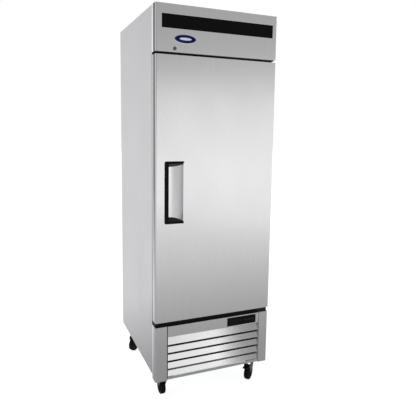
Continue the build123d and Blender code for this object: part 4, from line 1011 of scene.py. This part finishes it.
# floor, light and camera
studio = {
    "backSide": (-0.55, 0.83, 0.0), "frontLevel": 0.57, "backLevel": 1.0,
    "darkSide": (-0.39, -0.92, 0.0), "darkInner": 14.0, "darkOuter": 38.0, "darkLevel": 0.5,
    "zenith": 0.5, "floorTone": 0.68, "floorFill": 0.85, "backGlow": 0.6,
    "nearGlow": 0.07, "farGlow": 0.38,
    "boxes": [
        # name, place, aim, size, watts, lights the louvres (or everything else)
        ("front_box", (2.4, -4.6, 1.1), (0.1, -0.4, 0.9), (7.0, 2.3), 23.0, False),
        ("slat_box", (0.85, -4.6, 1.0), (0.0, -0.4, 0.3), (2.0, 1.6), 13.0, True),
        ("slat_edge", (1.74, -4.5, 1.0), (0.1, -0.4, 0.3), (0.16, 1.6), 0.9, True),
        ("left_box", (-3.4, 2.2, 1.6), (0.0, 0.2, 1.1), (2.0, 2.4), 4.0, False),
    ],
}


def makeStudio():
    bpy.ops.mesh.primitive_plane_add(size=60.0, location=(0.0, 0.0, 0.0))
    floor = bpy.context.object
    floor.name = "studio_floor"
    material, tree, shader = newMaterial("studio_floor")
    shader.inputs["Roughness"].default_value = 0.95
    tone = studio["floorTone"]
    clouds = objectPattern(tree, (1.3, 1.3, 1.3))
    paper = mixColour(tree, clouds, (tone - 0.02,) * 3, (tone + 0.02,) * 3)
    tree.links.new(paper, shader.inputs["Base Color"])
    # the paper floor is lit up to white for the camera, and away from the cabinet for its reflections
    shader.inputs["Emission Color"].default_value = (1.0, 1.0, 1.0, 1.0)
    glow = maths(tree, "ADD", remap(tree, objectAxis(tree, "Y"), -0.4, 1.2, 0.0, studio["backGlow"]),
                 remap(tree, objectAxis(tree, "Y"), -3.0, -1.0, studio["farGlow"], studio["nearGlow"]))
    tree.links.new(cameraMix(tree, glow, studio["floorFill"]), shader.inputs["Emission Strength"])
    floor.data.materials.append(material)

    world = bpy.data.worlds.new("studio")
    bpy.context.scene.world = world
    world.use_nodes = True
    tree = world.node_tree
    tree.nodes.clear()
    coords = addNode(tree, "ShaderNodeTexCoord")

    def towards(direction):
        dot = addNode(tree, "ShaderNodeVectorMath", operation="DOT_PRODUCT")
        dot.inputs[1].default_value = direction
        tree.links.new(coords.outputs["Generated"], dot.inputs[0])
        return dot.outputs["Value"]

    # bright behind and to the left, dimmer in front, dark where the viewer stands
    sides = remap(tree, towards(studio["backSide"]), -0.35, 0.55, studio["frontLevel"], studio["backLevel"])
    dark = remap(tree, towards(studio["darkSide"]), cos(radians(studio["darkOuter"])),
                 cos(radians(studio["darkInner"])), 1.0, studio["darkLevel"])
    height = remap(tree, towards(upward), 0.0, 0.8, 1.0, studio["zenith"])
    level = maths(tree, "MULTIPLY", maths(tree, "MULTIPLY", sides, dark), height)
    background = addNode(tree, "ShaderNodeBackground")
    background.inputs["Color"].default_value = (1.0, 1.0, 1.0, 1.0)
    tree.links.new(cameraMix(tree, level, 1.0), background.inputs["Strength"])
    output = addNode(tree, "ShaderNodeOutputWorld")
    tree.links.new(background.outputs[0], output.inputs["Surface"])

    # two boxes are flagged off everything but the louvres, and the others off the louvres
    louvres = bpy.data.objects["louvre_slats_folded"]
    for name, place, aim, size, power, forSlats in studio["boxes"]:
        lamp = bpy.data.lights.new(name, "AREA")
        lamp.shape = "RECTANGLE"
        lamp.size, lamp.size_y = size
        lamp.energy = power
        holder = bpy.data.objects.new(name, lamp)
        bpy.context.scene.collection.objects.link(holder)
        holder.location = place
        holder.rotation_euler = (Vector(aim) - Vector(place)).to_track_quat("-Z", "Y").to_euler()
        holder.visible_camera = False
        flagged = bpy.data.collections.new(name + "_flag")
        flagged.objects.link(louvres)
        flagged.collection_objects[0].light_linking.link_state = "INCLUDE" if forSlats else "EXCLUDE"
        holder.light_linking.receiver_collection = flagged


makeStudio()

cameraFacts = {
    "place": (-1.000, -2.643, 1.490), "yaw": 0.4003, "pitch": -0.1259, "roll": 0.0142,
    "lens": 39.61, "shift": -0.0481,
}
cameraData = bpy.data.cameras.new("camera")
cameraData.sensor_width = 36.0
cameraData.lens = cameraFacts["lens"]
cameraData.shift_y = cameraFacts["shift"]
camera = bpy.data.objects.new("camera", cameraData)
bpy.context.scene.collection.objects.link(camera)
turn = Matrix.Rotation(-cameraFacts["yaw"], 4, "Z") @ Matrix.Rotation(pi / 2 + cameraFacts["pitch"], 4, "X")
camera.matrix_world = (Matrix.Translation(cameraFacts["place"]) @ turn
                       @ Matrix.Rotation(cameraFacts["roll"], 4, "Z"))
bpy.context.scene.camera = camera
bpy.context.scene.view_settings.view_transform = "Standard"
print("studio and camera ready")
